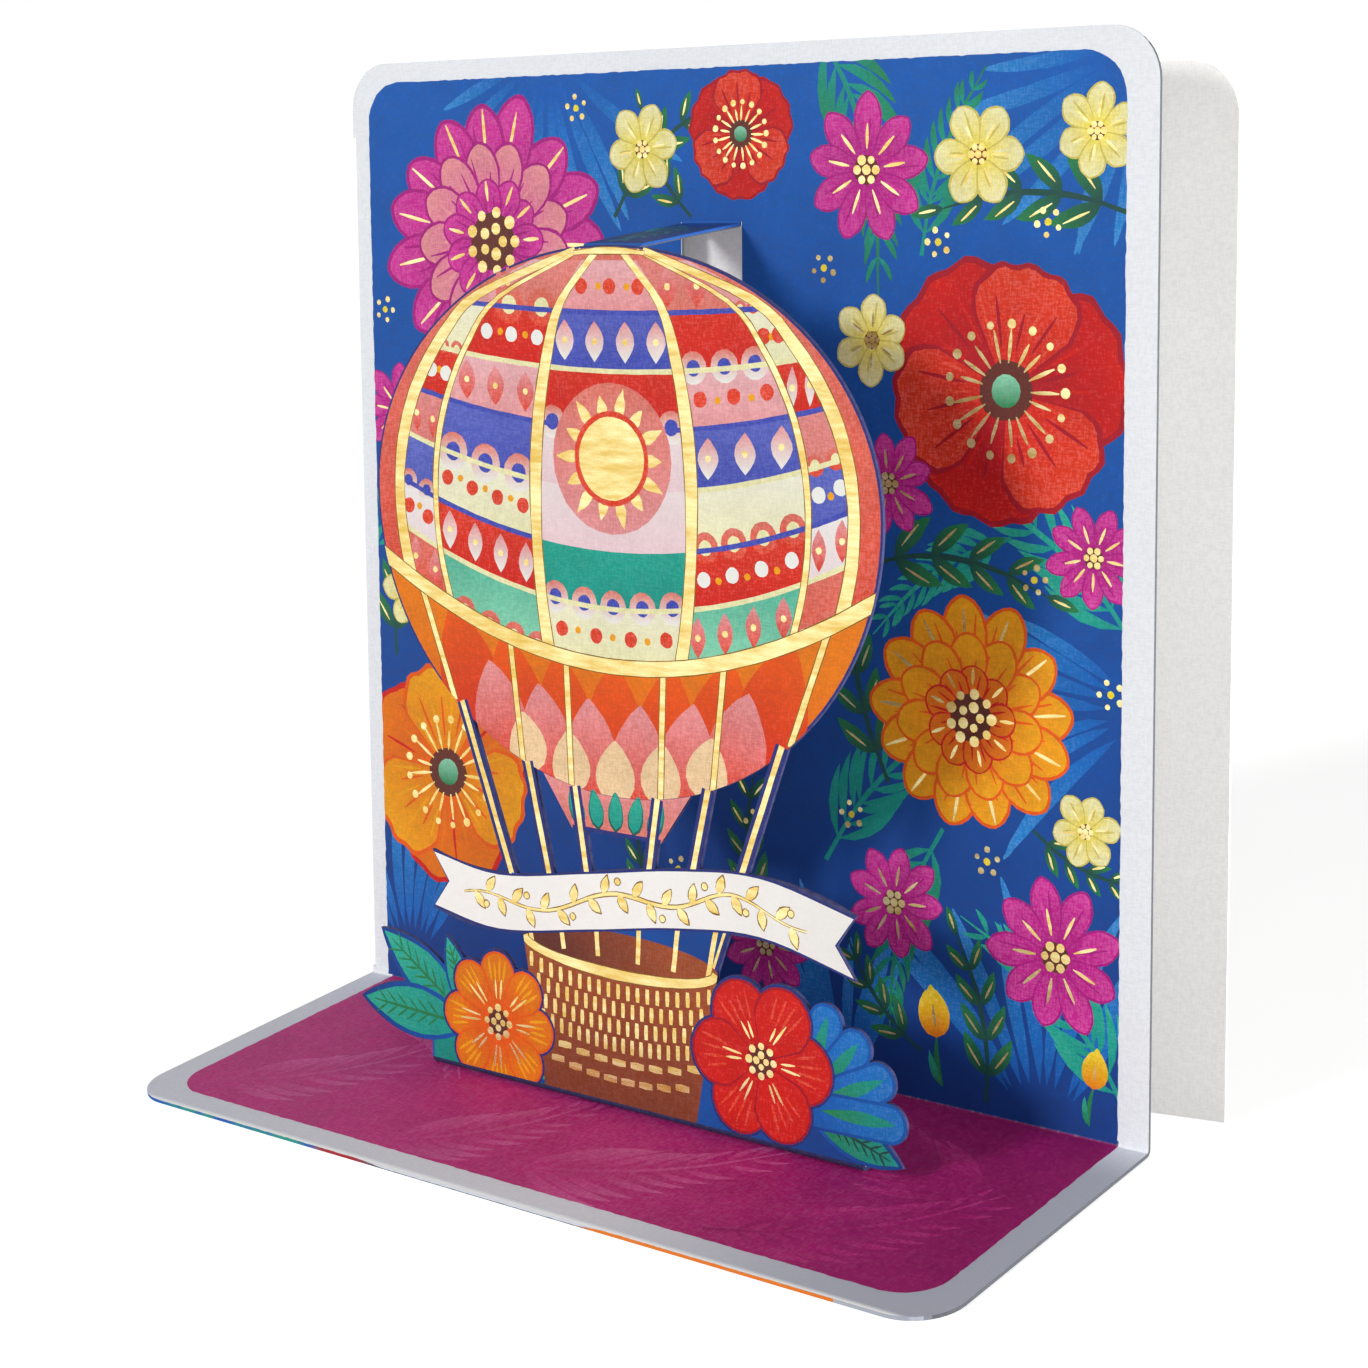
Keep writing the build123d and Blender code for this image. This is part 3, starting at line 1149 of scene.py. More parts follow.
@dataclass(frozen=True)
class CardStock(Stock):
    """White card of the folded sheet, with its folds and edges.

    It is warmer on the rear leaf and inked along the fold and round the lift tab. It carries painted shade on
    the base's border, deeper towards the right, and on its side cut edges, a painted highlight on the base's
    front lip, and below that a painted reflection of the underside's print with painted shadow in its middle.
    """

    # The rear leaf's warm white, also used as the painted highlight on the base's front lip
    warm: str = "faf8f4"
    # Painted shade of the base's border, which deepens to the next colour towards the right
    shaded: str = "d9dde7"
    painted_shade_right: str = "adb2bf"
    # Painted shade of the side cut edges, also the painted shadow at the foot of the base's front edge
    cut: str = "585a61"
    cloud: str = "b9b6b0"
    cloud_scale: float = 45.0
    cloud_step: Pair = (0.3, 0.7)
    cloud_share: float = 0.05
    rear_step: Pair = (0.7, 1.2)
    base_top: float = 0.62
    # Where the painted shade of the base's border deepens, across and along
    shade_right_across: Pair = (12.0, 74.0)
    shade_right_along: Pair = (30.0, 18.0)
    fold_half: float = 0.75
    fold_reach: float = 75.0
    fold_step: Pair = (-0.1, 0.1)
    worn_scale: float = 700.0
    worn_step: Pair = (0.5, 0.62)
    worn_share: float = 0.1
    # How squarely a cut edge must face sideways to take the painted shade
    shaded_edge_step: Pair = (0.55, 0.8)
    facing_up: float = 0.9
    tab_half: float = 5.95
    tab_under: float = 136.35
    tab_back: float = 45.2
    # Where the front lip's painted highlight and its lowered bump begin
    lip_step: Pair = (-29.5, -28.5)
    lip_drop: float = 0.6
    front_edge: float = -20.0
    facing_out: float = 0.5
    # Height and reach of the painted reflection on the base's front cut edge
    reflection_height: float = 0.4
    reflection_end: float = 64.0
    ragged_scale: float = 420.0
    ragged_height: float = 0.3
    # Where the painted reflection thins in the middle, and its colours along the edge; the dark grey is
    # painted shadow
    bare_left: Pair = (-26.0, -20.0)
    bare_right: Pair = (24.0, 18.0)
    bare_drop: float = -0.42
    cool_scale: float = 130.0
    cool_step: Pair = (0.42, 0.58)
    crimson_step: Pair = (-37.0, -33.0)
    reflection_shadow_step: Pair = (-27.0, -22.0)
    orange_step: Pair = (18.0, 22.0)
    detail: float = 3.0
    rough: float = 0.6

    def material(self) -> Material:
        """Builds the finish.

        Returns:
            The material.
        """
        finish, n, shader, place = self.start()
        axes, normal = n.split(place), n.split(n.add("NewGeometry").outputs["True Normal"])
        tooth = n.effect("paper_tooth", Place=place)
        behind = self.behind(n, axes, FOLD_Y, 0.0)
        front = n.rest(n.ramp(behind, self.rear_step, MM))
        colour = self.specked(n, tooth["Fleck"], self.sheet(n, place, axes, front))
        colour = self.inked_fold(n, axes, behind, colour)
        # Painted shade: cut edges that face left or right turn dark grey
        side = n.times(n.ramp(n.unsigned(normal[0]), self.shaded_edge_step), front)
        colour = n.blend(side, colour, self.cut)
        colour = n.blend(self.tab_mask(n, axes), colour, Ink.COBALT)
        # Painted highlight: the front lip of the base's top takes the bright warm white; the same step lowers
        # the bump for its rounded edge
        lip = n.ramp(axes[1], self.lip_step, MM)
        colour = n.blend(n.times(n.over(normal[2], self.facing_up), n.rest(lip)), colour, self.warm)
        # Painted reflection of the underside's print, with painted shadow, on the front cut edge
        colour = self.underside_reflection(n, axes, normal, colour)
        height = n.plus(tooth["Height"], n.times(lip, self.lip_drop / self.relief))
        self.coat(n, shader, colour, n.times(tooth["Fleck"], self.speck_roughness), height)
        return finish

    def sheet(self, n: Nodes, place: Socket, axes: Sockets, front: Socket) -> Socket:
        """The white of the sheet, with its clouds and the painted shade of the base's border, deeper towards
        the right.

        Args:
            n: The material's node placer.
            place: Object coordinates.
            axes: Their X, Y and Z.
            front: 1 in front of the rear leaf.

        Returns:
            The colour.
        """
        colour = n.blend(front, self.warm, self.white)
        clouds = n.ramp(n.noise(place, self.cloud_scale), self.cloud_step)
        colour = n.blend(n.times(clouds, self.cloud_share), colour, self.cloud)
        # Painted shade: the base's border is greyer than the sheet, and darker towards the right and front,
        # away from the fold
        far = n.times(n.ramp(axes[0], self.shade_right_across, MM), n.ramp(axes[1], self.shade_right_along, MM))
        border = n.times(n.under(axes[2], self.base_top * MM), front)
        return n.blend(border, colour, n.blend(far, self.shaded, self.painted_shade_right))

    def inked_fold(self, n: Nodes, axes: Sockets, behind: Socket, colour: Socket) -> Socket:
        """The card's colour with the print that runs round the fold from panel to base, worn a little.

        Args:
            n: The material's node placer.
            axes: Object coordinates.
            behind: Distance behind the panel's plane.
            colour: The colour without the fold's ink.

        Returns:
            The colour with it.
        """
        above = n.minus(axes[2], STOCK * MM)
        squares = [n.math("POWER", value, 2.0) for value in (n.minus(axes[1], FOLD_Y * MM), above)]
        near = n.under(n.plus(*squares), (self.fold_half * MM) ** 2)
        inside = n.under(n.unsigned(axes[0]), self.fold_reach * MM)
        before = n.over(n.minus(axes[2], behind), 0.0)
        upper = n.ramp(n.plus(above, behind), self.fold_step, MM)
        along = n.add("CombineXYZ", X=axes[0]).outputs[0]
        worn = n.ramp(n.noise(along, self.worn_scale, self.detail, self.rough), self.worn_step)
        ink = n.blend(upper, Ink.PLUM_DEEP, Ink.DEEP_BLUE)
        ink = n.blend(n.times(worn, self.worn_share), ink, self.white)
        return n.blend(n.times(n.times(near, inside), before), colour, ink)

    def tab_mask(self, n: Nodes, axes: Sockets) -> Socket:
        """Where the print runs round the creases of the lift tab.

        Args:
            n: The material's node placer.
            axes: Object coordinates.

        Returns:
            The mask.
        """
        across = n.under(n.unsigned(axes[0]), self.tab_half * MM)
        above = n.over(axes[2], self.tab_under * MM)
        before = n.under(axes[1], self.tab_back * MM)
        return n.times(across, n.times(above, before))

    def underside_reflection(self, n: Nodes, axes: Sockets, normal: Sockets, colour: Socket) -> Socket:
        """The base's front cut edge, with a painted reflection of the underside's print along its foot and
        painted shadow in its middle.

        Args:
            n: The material's node placer.
            axes: Object coordinates.
            normal: The face's direction.
            colour: The card's colour without the painted reflection.

        Returns:
            The colour with the painted reflection.
        """
        along = n.add("CombineXYZ", X=axes[0]).outputs[0]
        ragged = n.noise(along, self.ragged_scale, self.detail, self.rough)
        bare = n.times(n.ramp(axes[0], self.bare_left, MM), n.ramp(axes[0], self.bare_right, MM))
        height = n.plus(n.times(ragged, self.ragged_height * MM), n.times(bare, self.bare_drop * MM))
        low = n.under(axes[2], n.plus(height, self.reflection_height * MM))
        outward = n.under(n.unsigned(normal[2]), self.facing_out)
        edge = n.times(n.under(axes[1], self.front_edge * MM), outward)
        within = n.under(axes[0], self.reflection_end * MM)
        hue = n.blend(n.ramp(n.noise(along, self.cool_scale), self.cool_step), Ink.TEAL, Ink.COBALT)
        # Teal, blue, crimson and orange are the painted reflection of the underside's print; the dark grey
        # between is painted shadow
        for step, ink in ((self.crimson_step, Ink.CRIMSON), (self.reflection_shadow_step, self.cut),
                          (self.orange_step, Ink.ORANGE)):
            hue = n.blend(n.ramp(axes[0], step, MM), hue, ink)
        return n.blend(n.times(within, n.times(low, edge)), colour, hue)


@dataclass(frozen=True)
class FigureStock(Stock):
    """Card of the die-cut figure: navy cut edges darkened as painted shade, painted shadow along the foot
    fold, and a plain white back.
    """

    white: str = "e9ebee"
    speck: str = "aeb2bd"
    speck_share: float = 0.06
    # Navy of the cut edges, darker than the print's margin as painted shade
    edge: str = "20255c"
    stain: str = "7a7aa6"
    stain_scale: float = 600.0
    stain_step: Pair = (0.35, 0.65)
    stain_share: float = 0.15
    # Painted shadow along the fold at the figure's foot, and the height it reaches
    fold: str = "141a52"
    foot_shadow_height: float = 1.95
    back_step: Pair = (0.7, 0.9)
    end_step: Pair = (0.5, 0.7)
    flap_gap: float = 0.2
    flap_edge: float = 1.1

    def material(self) -> Material:
        """Builds the finish.

        Returns:
            The material.
        """
        finish, n, shader, place = self.start()
        axes, normal = n.split(place), n.split(n.add("NewGeometry").outputs["True Normal"])
        tooth = n.effect("paper_tooth", Place=place)
        behind = self.behind(n, axes, FOLD_Y - FIGURE_REACH, FOOT_LIFT)
        ends = n.ramp(n.unsigned(normal[0]), self.end_step)
        flap = n.times(n.over(behind, (STOCK + self.flap_gap) * MM), n.rest(ends))
        back = n.larger(n.ramp(normal[1], self.back_step), flap)
        stain = n.ramp(n.noise(place, self.stain_scale), self.stain_step)
        # The cut edges' navy, darkened as painted shade, with random stains
        rim = n.blend(n.times(stain, self.stain_share), self.edge, self.stain)
        # Painted shadow: the foot fold is darker than the other edges
        rim = n.blend(n.under(axes[2], self.foot_shadow_height * MM), rim, self.fold)
        plain = n.times(back, n.over(axes[2], self.flap_edge * MM))
        colour = self.specked(n, tooth["Fleck"], n.blend(plain, rim, self.white))
        self.coat(n, shader, colour, n.times(tooth["Fleck"], self.speck_roughness), tooth["Height"])
        return finish


def upright(origin_y: float, origin_z: float) -> Matrix:
    """The matrix from a leaning face's drawing, in millimetres, to the frame in metres.

    Args:
        origin_y: Y of the face's foot line.
        origin_z: Z of the face's foot line.

    Returns:
        The matrix, with the face's normal towards the viewer.
    """
    across, up = Vector((1, 0, 0)), Vector((0, math.sin(LEAN), math.cos(LEAN)))
    turn = Matrix((across, up, across.cross(up))).transposed().to_4x4()
    return Matrix.Scale(MM, 4) @ Matrix.Translation((0, origin_y, origin_z)) @ turn


@dataclass
class ScenePanel:
    """The upright panel with its garden print, and the lift tab that is cut out of it."""

    left: float = -76.0
    right: float = 74.8
    low: float = 0.3
    high: float = 161.6
    corner: float = 7.0
    under_fold: float = 1.0
    half_reach: float = 80.0
    top: float = 165.0
    tab_half: float = 5.8
    tab_gap: float = 0.35
    tab_crease: float = 137.0
    tab_reach: float = 26.0
    crease_gap: float = 0.2
    window_low: float = 101.6
    fern_pairs: int = 11

    def garden(self) -> Drawing:
        """The panel's print: foliage first, then blooms.

        Returns:
            The drawing.
        """
        art = Drawing(11)
        low = self.low - self.under_fold
        edge = rounded_field(self.left, self.right, low, self.high, self.corner, Corners.TOP)
        # The blue field darkens towards its foot: painted shade over the print's blue
        art.cut(frayed(edge, 12), Ink.COBALT, Ink.DEEP_BLUE, (40 + 165j, 20 + 5j))
        self.plant_leaves(art)
        self.plant_blooms(art)
        self.scatter_dots(art)
        return art

    def plant_leaves(self, art: Drawing) -> None:
        """Adds the grass, the ferns and the leafy sprigs.

        Args:
            art: The garden.
        """
        for root, first, last, count, length in (
                (62 - 3j, 58, 130, 9, 44), (-34 + 166j, 200, 318, 11, 34), (-70 + 1j, 60, 118, 8, 40),
                (26 - 4j, 66, 124, 8, 38), (79 + 163j, 192, 262, 8, 38), (80 + 66j, 150, 214, 7, 34)):
            art.blades(root, first, last, count, length)
        for root, angle, length, bend, tip in (
                (78 + 74j, 122, 44, 24, Ink.SEA_GREEN), (20 + 168j, -52, 44, -22, Ink.GREEN),
                (-78 + 76j, 74, 34, -30, Ink.SEA_GREEN), (22 + 36j, 62, 40, -18, Ink.TEAL),
                (77 + 4j, 116, 40, 22, Ink.SEA_GREEN), (40 + 132j, 84, 30, -16, Ink.GREEN),
                (56 + 90j, 196, 30, 18, Ink.SEA_GREEN), (44 + 44j, 236, 36, 18, Ink.GREEN)):
            art.fern(root, angle, length, self.fern_pairs, Ink.TEAL, tip, bend=bend)
        for root, angle, length, bend in (
                (30 + 84j, 20, 32, -24), (76 + 138j, 158, 32, 20), (-20 + 138j, 62, 26, -20),
                (52 + 2j, 84, 26, 18), (-72 + 60j, 96, 28, -22), (34 + 50j, 118, 30, -14),
                (60 + 46j, 320, 18, 20), (40 + 8j, 150, 22, -20), (-4 + 138j, 140, 20, -20),
                (9 + 25j, 112, 24, -20), (-16 + 22j, 84, 20, 16)):
            art.sprig(root, angle, length, bend)

    def plant_blooms(self, art: Drawing) -> None:
        """Adds the zinnias, poppies, daisies and tulips.

        Args:
            art: The garden.
        """
        pink = (Ink.MAGENTA, Ink.MAGENTA, Ink.PINK)
        rose = (Ink.MAGENTA, Ink.PINK, Ink.ROSE)
        amber = (Ink.TANGERINE, Ink.ORANGE, Ink.AMBER)
        flame = (Ink.RED, Ink.TANGERINE, Ink.ORANGE)
        red = (Ink.CRIMSON, Ink.CRIMSON, Ink.RED)
        coral = (Ink.CRIMSON, Ink.RED, Ink.CORAL)
        cream = (Ink.STRAW, Ink.LEMON, Ink.CREAM)
        art.zinnia(-47 + 134j, 25, [pink, rose, pink], petals=15)
        art.poppy(55 + 112j, 21, red, coral, turn=12)
        art.zinnia(49 + 62j, 18.5, [amber, amber, flame], petals=13, turn=9)
        art.poppy(-60 + 40j, 20, flame, amber, turn=40)
        art.poppy(6 + 151j, 10.5, red, coral, turn=30)
        for place, size, turn in (
                (30 + 145j, 11.5, 8), (64 + 27j, 12.0, 20), (35 + 31j, 9.5, 0), (70 + 88j, 8.0, 30),
                (-70 + 104j, 9.0, 12), (-36 + 62j, 9.0, 5), (34 + 97j, 8.5, 16), (10 + 20j, 9, 0)):
            art.daisy(place, size, 9, pink, turn)
        for place, size, turn in (
                (50 + 147j, 8.0, 0), (70 + 150j, 7.0, 20), (-14 + 149j, 7.5, 10), (69 + 47j, 6.0, 8),
                (31 + 119j, 7.0, 24), (24 + 76j, 6.5, 12), (-68 + 72j, 7.0, 0), (-20 + 108j, 6.5, 0)):
            art.daisy(place, size, 6, cream, turn)
        for foot, angle, size in ((44 + 3j, 98, 8.5), (70 + 2j, 84, 6.5)):
            art.tulip(foot, angle, size, Ink.ORANGE, Ink.LEMON)

    def scatter_dots(self, art: Drawing) -> None:
        """Adds small rings of gold spots, each round a yellow one, between the blooms.

        Args:
            art: The garden.
        """
        ring, spot, heart = 1.9, 0.5, 0.6
        for place in (43 + 134j, 22 + 130j, 60 + 84j, 27 + 44j, 73 + 68j, 52 + 40j, -28 + 156j, -73 + 122j,
                      62 + 137j, 8 + 40j, -8 + 30j):
            art.dots(place, ring, 5, spot, first=art.hand.uniform(0, 70))
            art.disc(place, heart, Ink.LEMON, points=9)

    def half_clip(self, side: int) -> list[complex]:
        """The left or right half of the panel above its fold, less its share of the tab's window.

        Args:
            side: -1 for the left, 1 for the right.

        Returns:
            The outline.
        """
        far, half = side * self.half_reach, side * (self.tab_half + self.tab_gap)
        crease, sill = self.tab_crease + self.crease_gap, self.window_low
        return [complex(0, self.low), complex(far, self.low), complex(far, self.top), complex(0, self.top),
                complex(0, crease), complex(half, crease), complex(half, sill), complex(0, sill)]

    def tab_drawing(self) -> Drawing:
        """The tab's print, which was part of the panel's before it was lifted, in darker blues as painted
        shade.

        Returns:
            The drawing.
        """
        art = Drawing(12)
        half, start, end = self.tab_half, 0.3, self.tab_reach - 0.6
        # Painted shade: the tab's face takes darker blues than the panel's print
        art.lay(oblong(-half, half, start, end), Ink.DEEP_BLUE, Ink.MIDNIGHT, (8j, 20j))
        art.fern(-5 + 2j, 62, 22, 6, Ink.MIDNIGHT, Ink.TEAL)
        art.fern(4 + 1j, 104, 24, 7, Ink.MIDNIGHT, Ink.BOTTLE)
        return art

    def build(self, finishes: Sequence[Material]) -> None:
        """Makes the films of the panel's two halves and of the tab.

        Args:
            finishes: Materials for ink and for foil.
        """
        garden = self.garden()
        for name, side in (("panel_print_left", -1), ("panel_print_right", 1)):
            Film(name, upright(FOLD_Y, STOCK), garden, self.half_clip(side)).build(finishes, "card_stock")
        crease_y = FOLD_Y + self.tab_crease * math.sin(LEAN)
        crease_z = STOCK + self.tab_crease * math.cos(LEAN)
        flat = Matrix(((1, 0, 0, 0), (0, -1, 0, crease_y), (0, 0, 1, crease_z), (0, 0, 0, 1)))
        half, start, end = self.tab_half - 0.05, 0.6, self.tab_reach - 1.6
        clip = oblong(-half, half, start, end)
        Film("tab_print", Matrix.Scale(MM, 4) @ flat, self.tab_drawing(), clip).build(finishes, "card_stock")


@dataclass
class BaseFlap:
    """The flap that the card stands on, with its tone-on-tone print."""

    half: float = 75.0
    front: float = -24.5
    back: float = 29.2
    corner: float = 7.0
    clip_half: float = 80.0
    clip_front: float = -29.0
    fern_pairs: int = 9
    fern_reach: float = 0.42

    def build(self, finishes: Sequence[Material]) -> None:
        """Makes the base's film.

        Args:
            finishes: Materials for ink and for foil.
        """
        art = Drawing(21)
        edge = rounded_field(-self.half, self.half, self.front, self.back, self.corner, Corners.LOW)
        # The plum darkens towards the right: painted shade over the plum print
        art.cut(frayed(edge, 22), Ink.PLUM, Ink.PLUM_DEEP, (8 - 8j, 70 + 6j))
        for root, angle, length, bend in (
                (-72 - 20j, 20, 44, 30), (-30 - 24j, 24, 40, 26), (-6 - 20j, 8, 46, 24),
                (36 - 22j, 16, 44, 26), (70 + 4j, 170, 46, -20), (-66 + 22j, -12, 40, -20),
                (30 + 24j, 190, 46, 22)):
            # Ferns on the right are darker: painted shade
            inks = (Ink.PLUM, Ink.PLUM_LIGHT) if root.real < 0 else (Ink.PLUM_DEEP, Ink.PLUM)
            art.fern(root, angle, length, self.fern_pairs, *inks, bend=bend, reach=self.fern_reach)
        plane = Matrix.Scale(MM, 4) @ Matrix.Translation((0, 0, STOCK))
        clip = oblong(-self.clip_half, self.clip_half, self.clip_front, self.back)
        Film("base_print", plane, art, clip).build(finishes, "card_stock")


class Motif(Enum):
    """What the bands of the envelope are decorated with."""

    LOZENGE = 0
    SCALLOP = 1
    DOT = 2


@dataclass
class BalloonFigure:
    """The die-cut balloon with its ropes, banner, basket, flowers and leaves."""

    half_width: float = 50.3
    middle: float = 97.0
    rise: float = 39.9
    bottom: float = 50.8
    margin: float = 0.38
    die_margin: float = 0.06
    levels: tuple[float, ...] = (134.5, 126.5, 117.5, 108.5, 99.0, 89.5, 80.5, 71.5)
    sag: float = 15.0
    sag_power: float = 0.8
    seam_shares: tuple[float, ...] = (-0.74, -0.31, 0.31, 0.74)
    outer_seam: float = 0.9
    seam_stops: tuple[float, ...] = (71.2, 80, 90, 100, 110, 120, 128)
    seam_width: float = 2.3
    thin_seam: float = 1.1
    seam_crown: float = 7.5
    sun_height: float = 104.0
    motif_width: float = 5.4
    mouth_half: float = 9.0
    mouth_top_half: float = 14.9
    mouth_low: float = 44.6
    rope_tops: tuple[float, ...] = (33.7, 19.2, 9.0)
    rope_feet: tuple[float, ...] = (18.4, 11.5, 4.2)
    rope_width: float = 2.4
    rope_gold: float = 1.0
    rope_lap: float = 4.0
    rim_height: float = 25.6
    rim_half: float = 19.8
    rim_drop: float = 3.4
    foot_half: float = 15.3
    banner_line: tuple[complex, ...] = (-39.6 + 32.0j, -25.0 + 30.2j, -6.0 + 33.1j, 12.0 + 36.2j,
                                        28.0 + 37.4j, 45.4 + 33.9j)
    banner_height: float = 9.9
    banner_notch: float = 3.4
    strip_left: float = -40.5
    strip_right: float = 46.5
    strip_height: float = 9.4
    clip_half: float = 60.0
    clip_low: float = 1.25
    clip_high: float = 140.0
    art: Drawing = field(default_factory=lambda: Drawing(31))

    @property
    def fall(self) -> float:
        """From the envelope's middle to its lowest edge."""
        return self.middle - self.bottom

    @property
    def crown(self) -> float:
        """Height of the envelope's top."""
        return self.middle + self.rise

    def half_at(self, height: float) -> float:
        """Half the envelope's width at a height."""
        drop = (height - self.middle) / (self.rise if height > self.middle else self.fall)
        return self.half_width * math.sqrt(max(1 - drop * drop, 0.0))

    def lower_edge(self, across: float) -> float:
        """Height of the envelope's lower edge at a distance from its middle."""
        return self.middle - self.fall * math.sqrt(1 - (across / self.half_width) ** 2)

    def envelope(self, inset: float) -> list[complex]:
        """The envelope's outline.

        Args:
            inset: How far it is pulled in.

        Returns:
            The outline, from the right.
        """
        count, points = 96, []
        for k in range(count):
            a = 2 * math.pi * k / count
            tall = (self.rise if math.sin(a) > 0 else self.fall) - inset
            points.append(complex((self.half_width - inset) * math.cos(a), self.middle + tall * math.sin(a)))
        return points

    def crossing(self, share: float, level: float) -> complex:
        """Where a seam meets a level line of the envelope.

        Args:
            share: The seam's distance from the middle, as a share of the half width.
            level: Height of the level line at the middle.

        Returns:
            The place on the figure.
        """
        tries, below_crown = 6, 0.4
        lowest = self.levels[-1]
        climb = max(level - lowest, 0.0) / (self.crown - lowest)
        sag = self.sag * (1 - climb) ** self.sag_power
        height = level
        for _ in range(tries):
            across = share * self.half_at(min(height, self.crown - below_crown))
            height = level + sag * (across / self.half_width) ** 2
        return complex(across, height)

    def cell(self, first: float, last: float, low: float, high: float) -> list[complex]:
        """The outline of one panel of a gore.

        Args:
            first: Share of the left seam.
            last: Share of the right seam.
            low: Level line below.
            high: Level line above.

        Returns:
            The outline.
        """
        spread = [first + (last - first) * k / 6 for k in range(7)]
        rungs = [low + (high - low) * k / 3 for k in range(1, 3)]
        return ([self.crossing(s, low) for s in spread] + [self.crossing(last, r) for r in rungs]
                + [self.crossing(s, high) for s in reversed(spread)]
                + [self.crossing(first, r) for r in reversed(rungs)])

    def paint_envelope(self) -> None:
        """Paints the gores, their bands of simple shapes and the gilded seams."""
        art = self.art
        art.cut(self.envelope(self.die_margin), Ink.NAVY)
        art.lay(self.envelope(self.margin), Ink.SALMON, Ink.CORAL, (137j, 70j))
        warm = (Ink.SALMON, Ink.RED, Ink.ROSE, Ink.VIOLET, Ink.CREAM, Ink.RED, Ink.MINT)
        cool = (Ink.ROSE, Ink.CREAM, Ink.RED, Ink.SALMON, Ink.VIOLET, Ink.BLUSH, Ink.CORAL)
        middle = (Ink.ROSE, Ink.VIOLET, Ink.RED, Ink.BLUSH, Ink.BLUSH, Ink.TEAL, Ink.CREAM)
        seams = (-self.outer_seam, *self.seam_shares, self.outer_seam)
        for gore, inks in enumerate((cool, warm, middle, warm, cool)):
            first, last = seams[gore], seams[gore + 1]
            for ink, high, low in zip(inks, self.levels, self.levels[1:]):
                axis = (complex(0, low), complex(0, high + 12))
                art.lay(self.cell(first, last, low, high), ink, PALER.get(ink), axis)
            self.paint_bands(gore, first, last, inks)
        self.paint_sun(complex(0, self.sun_height))
        for share in seams:
            thin = share in (self.seam_shares[0], self.seam_shares[-1])
            width = self.thin_seam if thin else self.seam_width
            line = [self.crossing(share, level) for level in self.seam_stops]
            art.gild([*line, complex(share * self.seam_crown, self.crown - 0.8)], width, end=0.45)
        cap = [complex(x, self.middle + self.rise * math.sqrt(1 - (x / self.half_width) ** 2) - 0.9)
               for x in (-7.0, -3.5, 0.0, 3.5, 7.0)]
        art.gild(cap, 1.0, start=0.6, end=0.6)

    def paint_bands(self, gore: int, first: float, last: float, inks: Sequence[Ink]) -> None:
        """Decorates the bands of one gore, but for those that the sun covers.

        Args:
            gore: Number of the gore from the left.
            first: Share of its left seam.
            last: Share of its right seam.
            inks: Colours of its bands from above.
        """
        for band, (ink, high, low) in enumerate(zip(inks, self.levels, self.levels[1:])):
            if gore == 2 and band in (3, 4):
                continue
            span = abs(self.crossing(last, low) - self.crossing(first, low))
            count = max(int(span / self.motif_width), 2)
            motif = Motif((band + gore) % len(Motif))
            light = Ink.IVORY if ink in (Ink.RED, Ink.VIOLET, Ink.TEAL) else Ink.CORAL
            for k in range(count):
                share = first + (last - first) * (k + 0.5) / count
                self.decorate(motif, share, low, high, span / count, light)
            edge = [self.crossing(first + (last - first) * k / 5, low) for k in range(6)]
            self.art.line(edge, 0.8, Ink.CREAM if band % 2 else Ink.VIOLET, steps=2)

    def decorate(self, motif: Motif, share: float, low: float, high: float, wide: float, ink: Ink) -> None:
        """Paints one shape on a band.

        Args:
            motif: Which shape.
            share: Its distance from the envelope's middle, as a share of the half width.
            low: Level line below the band.
            high: Level line above the band.
            wide: Room for the shape.
            ink: Its colour.
        """
        art = self.art
        middle = self.crossing(share, (low + high) / 2)
        if motif is Motif.LOZENGE:
            tall = 6.4
            art.petal(middle - 1j * tall / 2, 90, tall, wide * 0.55, ink, Ink.ROSE, blunt=1.0, peak=1.0)
            art.disc(middle, 0.55, Ink.GOLD, points=8)
        elif motif is Motif.SCALLOP:
            foot = self.crossing(share, low + 0.4)
            art.disc(foot, wide * 0.44, ink, Ink.SALMON)
            art.disc(foot, wide * 0.22, Ink.VIOLET if ink is Ink.IVORY else Ink.CREAM)
        else:
            art.disc(middle, 1.25, ink)
            art.disc(middle + wide * 0.5, 0.6, Ink.AMBER, points=8)

    def paint_sun(self, centre: complex) -> None:
        """Paints the gold sun on the middle gore, with short and long rays by turns.

        Args:
            centre: Its middle.
        """
        art = self.art
        halo, ring, rim, face, rays, width = 11.8, 6.6, 7.4, 6.5, 14, 2.0
        art.disc(centre, halo, Ink.ROSE, Ink.SALMON, points=28)
        for k in range(rays):
            angle = 360 * k / rays
            length = 4.6 if k % 2 else 3.4
            art.petal(centre + turned(angle) * ring, angle, length, width, Ink.GOLD, blunt=1.0, peak=0.6)
        art.disc(centre, rim, Ink.CORAL, points=28)
        art.disc(centre, face, Ink.GOLD, points=30)

